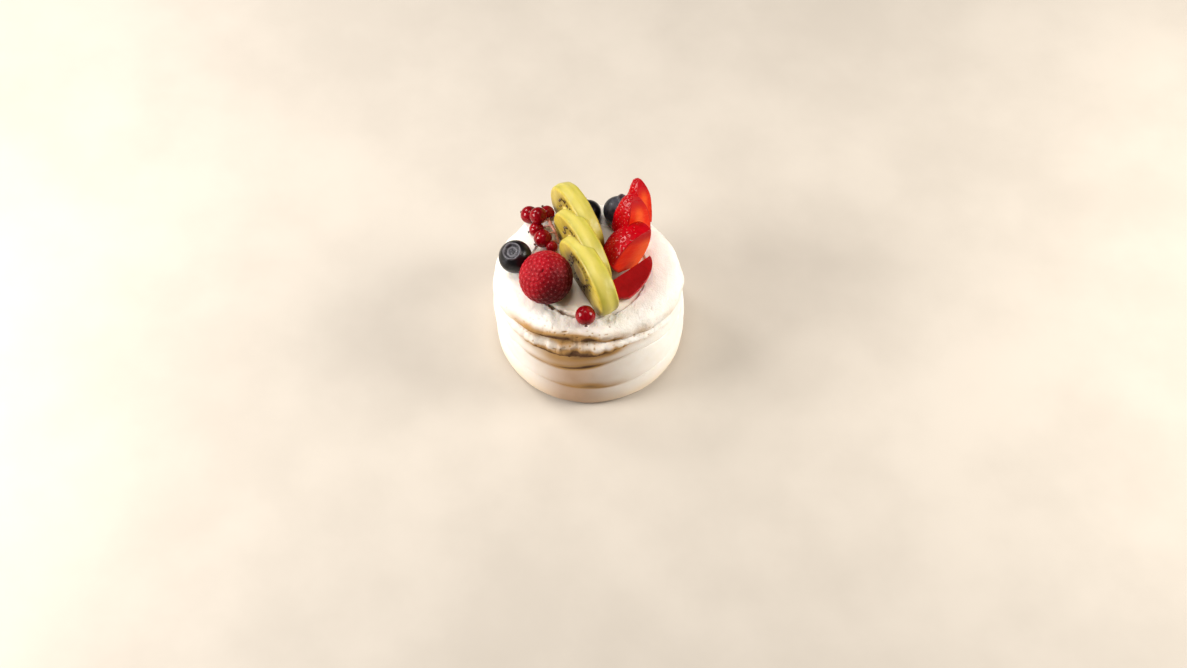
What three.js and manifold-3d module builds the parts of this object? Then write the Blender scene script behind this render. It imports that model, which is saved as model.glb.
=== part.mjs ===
// A small single-portion pavlova: a piped meringue nest, cream in its top, and fresh fruit on the cream.
// Millimetres, +Z up. The origin is the middle of the flat base.
import * as THREE from 'three';
import { mergeVertices } from 'three/addons/utils/BufferGeometryUtils.js';
import { ConvexHull } from 'three/addons/math/ConvexHull.js';
import Module from 'manifold-3d';

const wasm = await Module();
wasm.setup();

// Driving sizes of the meringue nest
const nest = {
  segments: 72,
  baseRadius: 41.8,
  topHeight: 46,
  sideShift: -1,        // the coils wander this far to the left as they rise
  shiftFrom: 10,
  shiftTo: 32,
  frontAngle: -Math.PI / 2,
  frontSpread: 1.15,
  frontPower: 1.3,
  climbAt: { at: -58, width: 24 },   // where the grooves rise and fall as they cross the front
  fallAt: { at: -112, width: 20 },
  lipBulge: 1.9,        // the torn lip bulges out past the groove under it
  recessRadius: 26.4,
  recessFloor: 42.2,
  roughness: 0.75,
  cragFrom: 36,         // above this height the crags also lift and lower the crust
  cragLift: 0.6,
};

// The crags on the crust: coarse ones, and finer and shallower ones on them
const crags = [
  { width: 5, height: 3.4, depth: 1, offset: 0 },
  { width: 2.6, height: 2, depth: 0.6, offset: 9 },
];

// Each coil: height and radius of the groove above it, how far that groove steps back at the front,
// how far the coil swells past its grooves, how torn its crust is, and how far the groove rises at the
// front, at the front right, and falls at the front left
const coils = [
  { top: 13.4, radius: 42.4, setBack: 0.5, swell: 1.5, torn: 0.12, frontRise: 0, climb: 0, fall: 0 },
  { top: 26, radius: 42.3, setBack: 2.9, swell: 1.6, torn: 0.12, frontRise: 0, climb: 5.2, fall: 2.6 },
  { top: 34.4, radius: 41.7, setBack: 3.2, swell: 1.1, torn: 0.3, frontRise: 0, climb: 3, fall: 2.2 },
  { top: 37.8, radius: 41.7, setBack: 7.4, swell: 1.6, torn: 1, frontRise: 4.7, climb: -1.8, fall: 0 },
];

// Driving sizes of the fruit
const gap = 0.3;
const creamDome = { radius: 26, floor: 42.5, edge: 45.4, crown: 47.2, segments: 48, wave: 0.35, width: 7 };
const berry = { radius: 11.6, length: 24, taper: 0.2, drupelets: 260, split: 2, relief: 0.8, dome: 0.72 };
const berrySeat = 1.03;
const blueberry = { flat: 0.92, eye: 0.84, lobes: 5, lobeLift: 0.8, sides: 20 };
const currant = { endRadius: 0.17, endTip: 1.2, sides: 12 };
const kiwi = { heading: -62, foot: 46.2, centre: 0.36, arcPoints: 24, cutPoints: 4, bevel: 1.3, ridge: 0.7 };
const strawberry = {
  rows: [0.02, 0.14, 0.34, 0.54, 0.72, 0.86, 0.94, 0.985],
  skinPoints: 10,
  blunt: 0.8,
  sliceTrim: 0.2,   // the share of a sliced berry that is cut off with its leaves
  sliceEdge: 0.5,   // how square the skin of a slice is: 1 is a half ellipse, and 0 would be a box
  leanFrom: 0.55,   // the share of the length from which a slice's face leans back
};

const colours = {
  meringue: 0xf7f1ea, cream: 0xefe3d3, raspberry: 0xa81c32, blueberry: 0x30343f,
  currant: 0xa30f26, stem: 0xc99a72, kiwi: 0xc6ca62, strawberry: 0xcf2a1e,
};

const fraction = (x) => x - Math.floor(x);
const mix = (a, b, t) => a + (b - a) * t;
const ease = (a, b, x) => {
  const t = Math.min(1, Math.max(0, (x - a) / (b - a)));
  return t * t * (3 - 2 * t);
};

// A repeatable value between -1 and 1 for each corner of a grid, blended smoothly between corners
function cornerValue(i, j, k) {
  return 2 * fraction(Math.sin(i * 12.9898 + j * 78.233 + k * 37.719) * 43758.5453) - 1;
}

function softNoise(x, y, z) {
  const [i, j, k] = [Math.floor(x), Math.floor(y), Math.floor(z)];
  const [a, b, c] = [ease(0, 1, x - i), ease(0, 1, y - j), ease(0, 1, z - k)];
  let sum = 0;
  for (const di of [0, 1]) {
    for (const dj of [0, 1]) {
      for (const dk of [0, 1]) {
        const weight = (di ? a : 1 - a) * (dj ? b : 1 - b) * (dk ? c : 1 - c);
        sum += weight * cornerValue(i + di, j + dj, k + dk);
      }
    }
  }
  return sum;
}

// A closed skin of rings: every ring is a loop of points, and one point closes each end
function closedSkin(start, rings, end) {
  const count = rings[0].length;
  const points = [start, ...rings.flat(), end];
  const index = [];
  const last = 1 + (rings.length - 1) * count;
  for (let k = 0; k < count; k++) {
    const next = (k + 1) % count;
    index.push(0, 1 + next, 1 + k);
    for (let low = 1; low < last; low += count) {
      const high = low + count;
      index.push(low + k, low + next, high + next, low + k, high + next, high + k);
    }
    index.push(last + k, last + next, points.length - 1);
  }
  const geometry = new THREE.BufferGeometry().setFromPoints(points);
  geometry.setIndex(index);
  return geometry;
}

function loop(count, pointAt) {
  return Array.from({ length: count }, (unused, k) => pointAt((2 * Math.PI * k) / count, k));
}

// How much a direction faces the front, where the coils step back: 1 in front, 0 at the sides and back
function frontShare(angle) {
  const turn = Math.atan2(Math.sin(angle - nest.frontAngle), Math.cos(angle - nest.frontAngle));
  const reach = Math.min(Math.PI / 2, Math.abs(turn) * nest.frontSpread);
  return Math.cos(reach) ** nest.frontPower;
}

// A smooth bump of height 1 round a place on the nest's edge
function bump(angle, { at, width }) {
  const away = angle - THREE.MathUtils.degToRad(at);
  const turn = Math.atan2(Math.sin(away), Math.cos(away));
  return Math.exp(-((turn / THREE.MathUtils.degToRad(width)) ** 2));
}

// The groove over a coil at one angle: the piped turns climb a little to the right as they cross the front
function grooveAt(coil, angle) {
  const front = frontShare(angle);
  const slope = coil.climb * bump(angle, nest.climbAt) - coil.fall * bump(angle, nest.fallAt);
  return { r: coil.radius - coil.setBack * front, z: coil.top + coil.frontRise * front + slope };
}

// The nest's outline at one angle, from the base up over the lip and down into the hollow for the cream
function nestOutline(angle) {
  const outline = [{ r: nest.baseRadius, z: 0, torn: 0 }];
  let low = { r: nest.baseRadius + 0.6, z: 0 };
  for (const coil of coils) {
    const high = grooveAt(coil, angle);
    for (const t of [0.14, 0.5, 0.84, 1]) {
      const swell = coil.swell * Math.sqrt(Math.max(0, 1 - (2 * t - 1) ** 2)) ** 0.8;
      outline.push({ r: mix(low.r, high.r, t) + swell, z: mix(low.z, high.z, t), torn: coil.torn });
    }
    low = high;
  }
  const outer = low.r + nest.lipBulge;
  for (const turn of [0.1, 0.34, 0.58, 0.8, 1]) {
    const sweep = (turn * Math.PI) / 2;
    const r = nest.recessRadius + 0.8 + (outer - nest.recessRadius - 0.8) * Math.cos(sweep) ** 0.75;
    outline.push({ r, z: mix(low.z, nest.topHeight, Math.sin(sweep) ** 0.9), torn: 1 });
  }
  outline.push({ r: nest.recessRadius, z: nest.topHeight - 1, torn: 0 });
  outline.push({ r: nest.recessRadius - 0.2, z: nest.recessFloor, torn: 0 });
  return outline;
}

function cragAt(x, y, z) {
  const values = crags.map(({ width, height, depth, offset }) => (
    depth * softNoise(x / width, y / width, z / height + offset)
  ));
  return values.reduce((sum, value) => sum + value);
}

function meringueGeometry() {
  const outlines = loop(nest.segments, (angle) => nestOutline(angle));
  const rings = outlines[0].map((unused, row) => loop(nest.segments, (angle, k) => {
    const { r, z, torn } = outlines[k][row];
    const [x, y] = [Math.cos(angle), Math.sin(angle)];
    const push = nest.roughness * torn * cragAt(x * r, y * r, z);
    const lift = z > nest.cragFrom ? nest.cragLift * push : 0;
    const shift = nest.sideShift * ease(nest.shiftFrom, nest.shiftTo, z);
    return new THREE.Vector3((r + push) * x + shift, (r + push) * y, z + lift);
  }));
  const floor = new THREE.Vector3(nest.sideShift, 0, nest.recessFloor);
  return closedSkin(new THREE.Vector3(0, 0, 0), rings, floor);
}

// The cream fills the hollow: a low dome, steep at its edge and softly waved on top
function creamGeometry() {
  const { radius, floor, edge, crown, segments, width } = creamDome;
  const dome = [0.97, 0.78, 0.48, 0.2].map((share) => (
    [share * radius, mix(edge, crown, 1 - share ** 2)]
  ));
  const profile = [[radius - 0.3, floor], [radius, edge - 1], ...dome];
  const rings = profile.map(([r, z]) => loop(segments, (angle) => {
    const [x, y] = [r * Math.cos(angle), r * Math.sin(angle)];
    const wave = r < 0.9 * radius ? creamDome.wave * softNoise(x / width, y / width, 0) : 0;
    return new THREE.Vector3(x + nest.sideShift, y, z + wave);
  }));
  const centre = (z) => new THREE.Vector3(nest.sideShift, 0, z);
  return closedSkin(centre(floor), rings, centre(crown));
}

// A raspberry: drupelet centres spread evenly over a ball by the golden angle, each raised into a small
// dome, and the ball then drawn out to the berry's blunt cone. The tip is +Z.
function raspberryGeometry() {
  const centres = Array.from({ length: berry.drupelets }, (unused, k) => {
    const z = 1 - (2 * k + 1) / berry.drupelets;
    const turn = k * Math.PI * (3 - Math.sqrt(5));
    const r = Math.sqrt(1 - z * z);
    return new THREE.Vector3(r * Math.cos(turn), r * Math.sin(turn), z);
  });
  const hull = new ConvexHull().setFromPoints(centres);
  const reach = berry.dome * Math.sqrt((4 * Math.PI) / berry.drupelets);
  const positions = [];
  const place = (direction) => {
    const nearest = Math.min(...centres.map((centre) => centre.distanceTo(direction)));
    const dome = Math.sqrt(Math.max(0, 1 - (nearest / reach) ** 2));
    const wide = berry.radius * (1 - berry.taper * direction.z);
    const body = new THREE.Vector3(direction.x * wide, direction.y * wide, direction.z * berry.length / 2);
    return body.addScaledVector(direction, berry.relief * (dome - 0.6));
  };
  for (const face of hull.faces) {
    const { edge } = face;
    const [a, b, c] = [edge.vertex.point, edge.next.vertex.point, edge.next.next.vertex.point];
    const at = (i, j) => {
      const [u, v] = [i / berry.split, j / berry.split];
      const spot = a.clone().multiplyScalar(1 - u - v).addScaledVector(b, u).addScaledVector(c, v);
      return place(spot.normalize());
    };
    for (let i = 0; i < berry.split; i++) {
      for (let j = 0; j < berry.split - i; j++) {
        positions.push(at(i, j), at(i + 1, j), at(i, j + 1));
        if (i + j < berry.split - 1) positions.push(at(i + 1, j), at(i + 1, j + 1), at(i, j + 1));
      }
    }
  }
  return new THREE.BufferGeometry().setFromPoints(positions);
}

// A blueberry: a slightly flat ball with a five-lobed crown round a sunken eye. The crown faces +Z.
function blueberryGeometry(radius, grow = 0) {
  const size = radius + grow;
  const top = blueberry.flat * size;
  const ball = [22, 45, 68, 90, 112, 134].map((degrees) => {
    const sweep = THREE.MathUtils.degToRad(degrees);
    return { r: size * Math.sin(sweep), z: -top * Math.cos(sweep), lobe: 0 };
  });
  const crown = [
    { r: 0.52 * size, z: 0.87 * top, lobe: 0 },
    { r: 0.5 * size, z: 0.99 * top, lobe: 0.14 },
    { r: 0.36 * size, z: 0.93 * top, lobe: 0.06 },
    { r: 0.2 * size, z: blueberry.eye * top, lobe: 0 },
  ];
  const rings = [...ball, ...crown].map(({ r, z, lobe }) => loop(blueberry.sides, (angle) => {
    const wave = lobe * Math.cos(blueberry.lobes * angle);
    const wide = r * (1 + wave);
    return new THREE.Vector3(wide * Math.cos(angle), wide * Math.sin(angle), z + blueberry.lobeLift * wave);
  }));
  return closedSkin(new THREE.Vector3(0, 0, -top), rings, new THREE.Vector3(0, 0, blueberry.eye * top));
}

// A redcurrant: a ball with its small dried flower end at +Z
function currantGeometry(radius, grow = 0) {
  const size = radius + grow;
  const profile = [30, 60, 90, 120, 148].map((degrees) => {
    const sweep = THREE.MathUtils.degToRad(degrees);
    return [size * Math.sin(sweep), -size * Math.cos(sweep)];
  });
  const tip = currant.endTip * size;
  profile.push([currant.endRadius * size, 0.97 * size], [0.75 * currant.endRadius * size, 0.98 * tip]);
  const rings = profile.map(([r, z]) => loop(currant.sides, (angle) => (
    new THREE.Vector3(r * Math.cos(angle), r * Math.sin(angle), z)
  )));
  return closedSkin(new THREE.Vector3(0, 0, -size), rings, new THREE.Vector3(0, 0, tip));
}

// A peeled kiwi slice with its lower part cut off straight. It stands on that cut: X along it, Y up, and Z
// is its thickness. The ridge left by the peeling runs along the middle of its rim.
function kiwiGeometry({ radius, height, thickness }, grow = 0) {
  const half = thickness / 2 + grow;
  const { centre, arcPoints, cutPoints, bevel, ridge } = kiwi;
  const undercut = Math.asin(centre / (1 - centre));
  const outline = (inset) => {
    const side = radius + grow - inset;
    const tall = (1 - centre) * height + grow - inset;
    const base = inset - grow;
    const arc = Array.from({ length: arcPoints }, (unused, k) => {
      const sweep = mix(-undercut, Math.PI + undercut, k / (arcPoints - 1));
      return [side * Math.cos(sweep), Math.max(base, centre * height + tall * Math.sin(sweep))];
    });
    const reach = side * Math.cos(undercut);
    const cut = Array.from({ length: cutPoints }, (unused, k) => (
      [mix(-reach, reach, (k + 1) / (cutPoints + 1)), base]
    ));
    return [...arc, ...cut];
  };
  const shoulder = half - bevel;
  const rows = [[-half, bevel], [-shoulder, 0.3], [0.1 * half, -ridge], [shoulder, 0.3], [half, bevel]];
  const rings = rows.map(([z, inset]) => outline(inset).map(([x, y]) => new THREE.Vector3(x, y, z)));
  const middle = (z) => new THREE.Vector3(0, 0.45 * height, z);
  return closedSkin(middle(-half), rings, middle(half));
}

// A piece of strawberry: +Z runs along its core from the broad end to the tip. The cut faces of a wedge
// meet at the core, which may bow out, at the two angles of the sector, and the seeded skin joins them.
// A slice has one flat face and its skin behind, as deep as the slice is thick; near the tip the face
// leans back to the skin.
function strawberryGirth(s, trimmed) {
  const along = trimmed + (1 - trimmed) * s;
  return Math.min(1, 1.6 * Math.sqrt(along + 0.16)) * Math.max(0, 1 - along ** 2.5) ** 0.52;
}

function strawberryGeometry({ length, radius, depth, sector, trimmed, edge, bow, lean }, grow = 0) {
  const [from, to] = sector.map((degrees) => THREE.MathUtils.degToRad(degrees));
  const middle = (from + to) / 2;
  const setOut = grow / Math.sin((to - from) / 2);
  const flat = depth / radius;
  const squared = (value) => Math.sign(value) * Math.abs(value) ** edge;
  const rings = strawberry.rows.map((s) => {
    const reach = radius * strawberryGirth(s, trimmed) + grow + setOut;
    const aside = bow * Math.sin(Math.PI * s);
    const back = lean * Math.max(0, (s - strawberry.leanFrom) / (1 - strawberry.leanFrom)) ** 2;
    const at = (share, angle) => new THREE.Vector3(
      share * reach * squared(Math.cos(angle)) - setOut * Math.cos(middle) - (1 - share) * aside,
      flat * share * reach * squared(Math.sin(angle)) - setOut * Math.sin(middle) - back, s * length,
    );
    const skin = Array.from({ length: strawberry.skinPoints }, (unused, k) => (
      at(1, mix(from, to, k / (strawberry.skinPoints - 1)))
    ));
    return [at(0, 0), at(0.5, from), ...skin, at(0.5, to)];
  });
  const end = (z, share, back) => new THREE.Vector3(
    share * radius * Math.cos(middle), share * depth * Math.sin(middle) - back, z,
  );
  return closedSkin(end(-strawberry.blunt - grow, 0.3, 0), rings, end(length + grow, 0.03, lean));
}

// The stalk of the currant sprig: a round rod along a soft curve
function stalkGeometry() {
  const path = new THREE.CatmullRomCurve3(stalk.points.map((point) => new THREE.Vector3(...point)));
  const section = new THREE.Shape(loop(stalk.sides, (angle) => (
    new THREE.Vector2(stalk.radius * Math.cos(angle), stalk.radius * Math.sin(angle))
  )));
  return new THREE.ExtrudeGeometry(section, { steps: stalk.steps, extrudePath: path });
}

// Places: a point that the piece's own origin goes to, and the directions of its own axes
function placed(origin, xAxis, yAxis, zAxis) {
  return new THREE.Matrix4().makeBasis(xAxis, yAxis, zAxis).setPosition(origin);
}

function pointing(at, direction) {
  const zAxis = new THREE.Vector3(...direction).normalize();
  const xAxis = new THREE.Vector3(0, 1, 0).cross(zAxis).normalize();
  return placed(new THREE.Vector3(...at), xAxis, zAxis.clone().cross(xAxis), zAxis);
}

function standing([x, y]) {
  const turn = THREE.MathUtils.degToRad(kiwi.heading);
  const xAxis = new THREE.Vector3(Math.cos(turn), Math.sin(turn), 0);
  const yAxis = new THREE.Vector3(0, 0, 1);
  return placed(new THREE.Vector3(x, y, kiwi.foot), xAxis, yAxis, xAxis.clone().cross(yAxis));
}

function between({ base, tip, facing, across }) {
  const [from, to] = [new THREE.Vector3(...base), new THREE.Vector3(...tip)];
  const zAxis = to.clone().sub(from).normalize();
  const yAxis = new THREE.Vector3(...facing);
  yAxis.addScaledVector(zAxis, -yAxis.dot(zAxis)).normalize();
  const xAxis = across ? new THREE.Vector3(...across) : yAxis.clone().cross(zAxis);
  return placed(from, xAxis, yAxis, zAxis);
}

const blueberries = [
  { name: 'blueberry_left', at: [-33.6, 2.6, 52.6], crown: [-0.2, -0.24, 0.95], radius: 7.6 },
  { name: 'blueberry_middle', at: [-1.4, 28.8, 50.4], crown: [-0.5, 0.6, 0.5], radius: 6.8 },
  { name: 'blueberry_right', at: [13.4, 28.4, 52.6], crown: [0.45, 0.35, 0.82], radius: 7.4 },
];

const currants = [
  { name: 'currant_1', at: [-27.9, 30.2, 47.6], radius: 4.1, end: [-0.8, 0.5, -0.2] },
  { name: 'currant_2', at: [-23.6, 25.4, 53.2], radius: 4.0, end: [-0.5, 0.75, 0.2] },
  { name: 'currant_3', at: [-19.9, 30.2, 48.8], radius: 3.6, end: [-0.5, 0.5, 0.75] },
  { name: 'currant_4', at: [-24.4, 21, 48.4], radius: 3.5, end: [-0.9, -0.1, -0.3] },
  { name: 'currant_5', at: [-21.4, 14.3, 50.6], radius: 4.2, end: [-0.7, -0.3, -0.5] },
  { name: 'currant_6', at: [-17.3, 10.2, 49.6], radius: 2.8, end: [0.3, -0.7, -0.6] },
  { name: 'currant_front', at: [-1.9, -28.4, 50.9], radius: 4.5, end: [0.05, -0.85, -0.2] },
];

// The sprig's stalk: the points it passes, and its thickness
const stalk = {
  points: [[-18.9, 24.4, 51.6], [-17.8, 20.8, 53], [-16.3, 17.4, 53], [-15, 14.6, 51.4], [-14.2, 12.6, 49]],
  radius: 0.85,
  steps: 14,
  sides: 7,
};

const kiwis = [
  { name: 'kiwi_front', at: [-0.4, -8.4], radius: 20.5, height: 21.5, thickness: 9.4 },
  { name: 'kiwi_middle', at: [-3.2, 6.2], radius: 20.5, height: 22.5, thickness: 8.6 },
  { name: 'kiwi_back', at: [-5.6, 22.2], radius: 19, height: 23, thickness: 8.6 },
];

// Wedges: the two ends of the core, the way that +90 degrees of the sector faces, the radius and the bow
const wedges = [
  {
    name: 'strawberry_4', base: [6.6, -11.2, 49.6], tip: [27, 1.3, 55.4], facing: [-0.5, 0.85, 0.1],
    radius: 11.5, sector: [-90, -58], bow: 0,
  },
  {
    name: 'strawberry_3', base: [20.8, 1.5, 46], tip: [27.4, 7.2, 66.6], facing: [0.68, -0.55, 0.46],
    radius: 17.3, sector: [-103, 0], bow: 3.2,
  },
];

// Slices: the two ends of the cut across the broad end, which may slope, the tip, the thickness, the lean
const slices = [
  {
    name: 'strawberry_2', left: [17, 8.4, 57], right: [28, 18.3, 47.2], tip: [22.2, 19, 74.6],
    depth: 12.7, lean: 3,
  },
  {
    name: 'strawberry_1', left: [20.6, 20.3, 53], right: [28.5, 26.4, 47], tip: [24.9, 29.5, 72.3],
    depth: 10.4, lean: 4,
  },
];

function slicePiece({ name, left, right, tip, depth, lean }) {
  const [from, to] = [new THREE.Vector3(...left), new THREE.Vector3(...right)];
  const base = from.clone().lerp(to, 0.5);
  const width = to.clone().sub(from);
  const facing = width.clone().cross(new THREE.Vector3(...tip).sub(base)).toArray();
  const radius = width.length() / 2 / strawberryGirth(0, strawberry.sliceTrim);
  return {
    name, radius, depth, facing, tip, lean,
    base: base.toArray(), across: width.negate().normalize().toArray(),
    sector: [-178, 0], trimmed: strawberry.sliceTrim, edge: strawberry.sliceEdge, bow: 0,
  };
}

const strawberries = [
  ...wedges.map((piece) => ({ ...piece, depth: piece.radius, trimmed: 0, edge: 1, lean: 0 })),
  ...slices.map(slicePiece),
];

const raspberryPlace = pointing([-19.5, -12.1, 58], [0, -0.34, 0.94]);
const asModelled = new THREE.Matrix4();

function strawberryShape(piece, grow = 0) {
  const length = new THREE.Vector3(...piece.tip).distanceTo(new THREE.Vector3(...piece.base));
  return strawberryGeometry({ ...piece, length }, grow).applyMatrix4(between(piece));
}

// Cuts: a closed mesh becomes a solid, and the seats of the fruit are taken out of what carries them
function solidOf(geometry, place) {
  const bare = geometry.clone().applyMatrix4(place);
  for (const attribute of ['normal', 'uv']) bare.deleteAttribute(attribute);
  const merged = mergeVertices(bare, 1e-4);
  return new wasm.Manifold(new wasm.Mesh({
    numProp: 3,
    vertProperties: new Float32Array(merged.attributes.position.array),
    triVerts: new Uint32Array(merged.index.array),
  }));
}

function geometryOf(solid) {
  const mesh = solid.getMesh();
  const geometry = new THREE.BufferGeometry();
  geometry.setAttribute('position', new THREE.BufferAttribute(new Float32Array(mesh.vertProperties), 3));
  geometry.setIndex(new THREE.BufferAttribute(new Uint32Array(mesh.triVerts), 1));
  return geometry;
}

function material(colour, roughness) {
  return new THREE.MeshStandardMaterial({ color: colour, roughness, metalness: 0 });
}

const group = new THREE.Group();

function add(name, geometry, finish, place) {
  const mesh = new THREE.Mesh(geometry, finish);
  mesh.name = name;
  place.decompose(mesh.position, mesh.quaternion, mesh.scale);
  group.add(mesh);
}

// The pieces press into one another: each one keeps clear, by the gap, of those placed before it
const seats = [];

function addFitted(name, geometry, finish, place) {
  const whole = solidOf(geometry, place);
  const crossed = seats.filter((seat) => whole.intersect(seat).volume() > 0);
  if (crossed.length === 0) {
    add(name, geometry, finish, place);
    return;
  }
  const bodies = crossed.reduce((solid, seat) => solid.subtract(seat), whole).decompose();
  bodies.sort((one, other) => other.volume() - one.volume());
  add(name, geometryOf(bodies[0]), finish, asModelled);
}

function settle(name, shape, finish, place) {
  addFitted(name, shape(0), finish, place);
  seats.push(solidOf(shape(gap), place));
}

const kiwiFinish = material(colours.kiwi, 0.35);
for (const slice of kiwis) {
  settle(slice.name, (grow) => kiwiGeometry(slice, grow), kiwiFinish, standing(slice.at));
}
const strawberryFinish = material(colours.strawberry, 0.3);
for (const piece of strawberries) {
  settle(piece.name, (grow) => strawberryShape(piece, grow), strawberryFinish, asModelled);
}
const blueberryFinish = material(colours.blueberry, 0.5);
for (const { name, at, crown, radius } of blueberries) {
  settle(name, (grow) => blueberryGeometry(radius, grow), blueberryFinish, pointing(at, crown));
}
const currantFinish = material(colours.currant, 0.15);
for (const { name, at, radius, end } of currants) {
  settle(name, (grow) => currantGeometry(radius, grow), currantFinish, pointing(at, end));
}
addFitted('currant_stem', stalkGeometry(), material(colours.stem, 0.6), asModelled);
add('raspberry', raspberryGeometry(), material(colours.raspberry, 0.45), raspberryPlace);
seats.push(solidOf(raspberryGeometry().scale(berrySeat, berrySeat, berrySeat), raspberryPlace));
addFitted('meringue', meringueGeometry(), material(colours.meringue, 0.8), asModelled);
addFitted('cream', creamGeometry(), material(colours.cream, 0.5), asModelled);

export default group;
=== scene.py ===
# A small pavlova: a piped meringue nest, cream in its hollow, and fresh fruit on the cream.
# Shapes are worked out in millimetres and put into the meshes in metres, with their place in the mesh.
import math

import bpy
import numpy as np
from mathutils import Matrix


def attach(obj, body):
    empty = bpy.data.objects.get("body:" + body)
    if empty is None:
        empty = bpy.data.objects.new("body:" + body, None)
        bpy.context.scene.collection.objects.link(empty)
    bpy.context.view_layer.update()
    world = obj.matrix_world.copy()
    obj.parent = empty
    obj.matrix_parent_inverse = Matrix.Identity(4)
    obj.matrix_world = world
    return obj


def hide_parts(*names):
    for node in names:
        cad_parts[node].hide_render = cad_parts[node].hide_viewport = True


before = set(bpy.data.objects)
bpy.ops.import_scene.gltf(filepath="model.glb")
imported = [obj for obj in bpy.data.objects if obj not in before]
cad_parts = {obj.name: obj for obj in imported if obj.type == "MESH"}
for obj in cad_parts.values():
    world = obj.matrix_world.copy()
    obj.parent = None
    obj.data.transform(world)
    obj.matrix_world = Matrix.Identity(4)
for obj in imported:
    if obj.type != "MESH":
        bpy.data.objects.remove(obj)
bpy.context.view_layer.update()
print("frame loaded")

millimetre = 0.001
fullTurn = 2 * np.pi
goldenTurn = np.pi * (3 - np.sqrt(5))


# Shared shape tools

def eased(low, high, value):
    # the share of the way from low to high, flat at both ends
    share = np.clip((value - low) / (high - low), 0, 1)
    return share * share * (3 - 2 * share)


def bell(away, width=1.0):
    # 1 at zero, falling to both sides: e to the minus square of the way over the width
    return np.exp(-(away / width) ** 2)


def clustered(count):
    # shares from 0 to 1, closer together at both ends: half of one minus the cosine of the way
    return (1 - np.cos(np.pi * np.linspace(0, 1, count))) / 2


def turnsRound(count):
    # even turns once round, the last a step before the first
    return np.arange(count) * fullTurn / count


def joined(*parts):
    # coordinates given one by one, put side by side as points
    return np.stack(np.broadcast_arrays(*parts), axis=-1)


def circleAt(turn, radius=1.0, height=0.0):
    # points round a circle, whose radius and height may change on the way
    return joined(radius * np.cos(turn), radius * np.sin(turn), height)


def unit(vectors):
    # the same directions, each of length one
    vectors = np.asarray(vectors, float)
    return vectors / np.linalg.norm(vectors, axis=-1, keepdims=True)


def softNoise(points, size, offset=0.0):
    # every corner of a grid of cells has a repeatable value from -1 to 1, the fraction of a large sine,
    # and a point takes the eased mix of its cell's eight corners
    scaled = np.asarray(points) / np.asarray(size) + offset
    cell = np.floor(scaled)
    share = eased(0, 1, scaled - cell)
    total = np.zeros(scaled.shape[:-1])
    for corner in np.ndindex(2, 2, 2):
        i, j, k = (cell[..., axis] + corner[axis] for axis in range(3))
        wave = np.sin(i * 12.9898 + j * 78.233 + k * 37.719) * 43758.5453
        weight = np.prod(np.where(corner, share, 1 - share), axis=-1)
        total += weight * (2 * (wave - np.floor(wave)) - 1)
    return total


def ridgeNoise(points, size, offset=0.0):
    # sharp crests where the soft noise crosses zero, about -0.6 to 0.6
    return 0.6 - 2 * np.abs(softNoise(points, size, offset))


def layered(points, layers):
    # the sum of several soft noises, each given as its height, size and offset
    return sum(height * softNoise(points, size, offset) for height, size, offset in layers)


def strayed(points, size, offset):
    # a soft noise for each of the three directions
    return np.stack([softNoise(points, size, offset + axis) for axis in range(3)], axis=-1)


def gridNormals(rings):
    # the cross product of the step along a ring and the step from ring to ring
    around = np.roll(rings, -1, axis=1) - np.roll(rings, 1, axis=1)
    normals = np.cross(around, np.gradient(rings, axis=0))
    return normals / np.maximum(np.linalg.norm(normals, axis=-1, keepdims=True), 1e-9)


def pushedOut(rings, amount):
    # every point moved along its normal
    return rings + gridNormals(rings) * amount[..., None]


def smoothPath(points, count):
    # a Catmull-Rom curve through the points: each stretch is a cubic of its four nearest points
    points = np.asarray(points, float)
    ends = np.vstack([2 * points[0] - points[1], points, 2 * points[-1] - points[-2]])
    place = np.linspace(0, len(points) - 1, count)
    first = np.minimum(place.astype(int), len(points) - 2)
    t = (place - first)[:, None]
    a, b, c, d = (ends[first + step] for step in range(4))
    bend, twist = 2 * a - 5 * b + 4 * c - d, 3 * b - a - 3 * c + d
    return 0.5 * (2 * b + (c - a) * t + bend * t ** 2 + twist * t ** 3)


def placedAt(local, origin, xAxis, yAxis, zAxis):
    # local coordinates along the three axes, from the origin
    return np.asarray(origin, float) + local @ np.array([xAxis, yAxis, zAxis])


def axesAlong(direction):
    # three axes square to each other, the last along the direction
    zAxis = unit(direction)
    xAxis = unit(np.cross([0, 1, 0], zAxis))
    return xAxis, np.cross(zAxis, xAxis), zAxis


def tubeRings(path, radii, sides):
    # a circle carried along a path, square to it at every point
    along = unit(np.gradient(path, axis=0))
    side = unit(np.cross(along, (0.3, 0.2, 1)))   # any direction does that no path follows
    up = np.cross(along, side)
    turn = turnsRound(sides)
    circle = np.cos(turn)[None, :, None] * side[:, None] + np.sin(turn)[None, :, None] * up[:, None]
    return path[:, None] + circle * radii[:, None, None]


# Shared mesh tools

def addPiece(name, points, faces, finish, replaces=(), values=None):
    # one finished mesh on the root body; each set of values becomes an attribute of its points
    mesh = bpy.data.meshes.new(name)
    mesh.from_pydata(points * millimetre, [], faces)
    for key, given in (values or {}).items():
        kind, part = ("FLOAT_VECTOR", "vector") if given.ndim == 2 else ("FLOAT", "value")
        attribute = mesh.attributes.new(key, kind, "POINT")
        attribute.data.foreach_set(part, np.ascontiguousarray(given, np.float32).ravel())
    mesh.validate()
    mesh.shade_smooth()
    mesh.materials.append(finish)
    piece = bpy.data.objects.new(name, mesh)
    bpy.context.scene.collection.objects.link(piece)
    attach(piece, "root")
    if replaces:
        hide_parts(*replaces)


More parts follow.
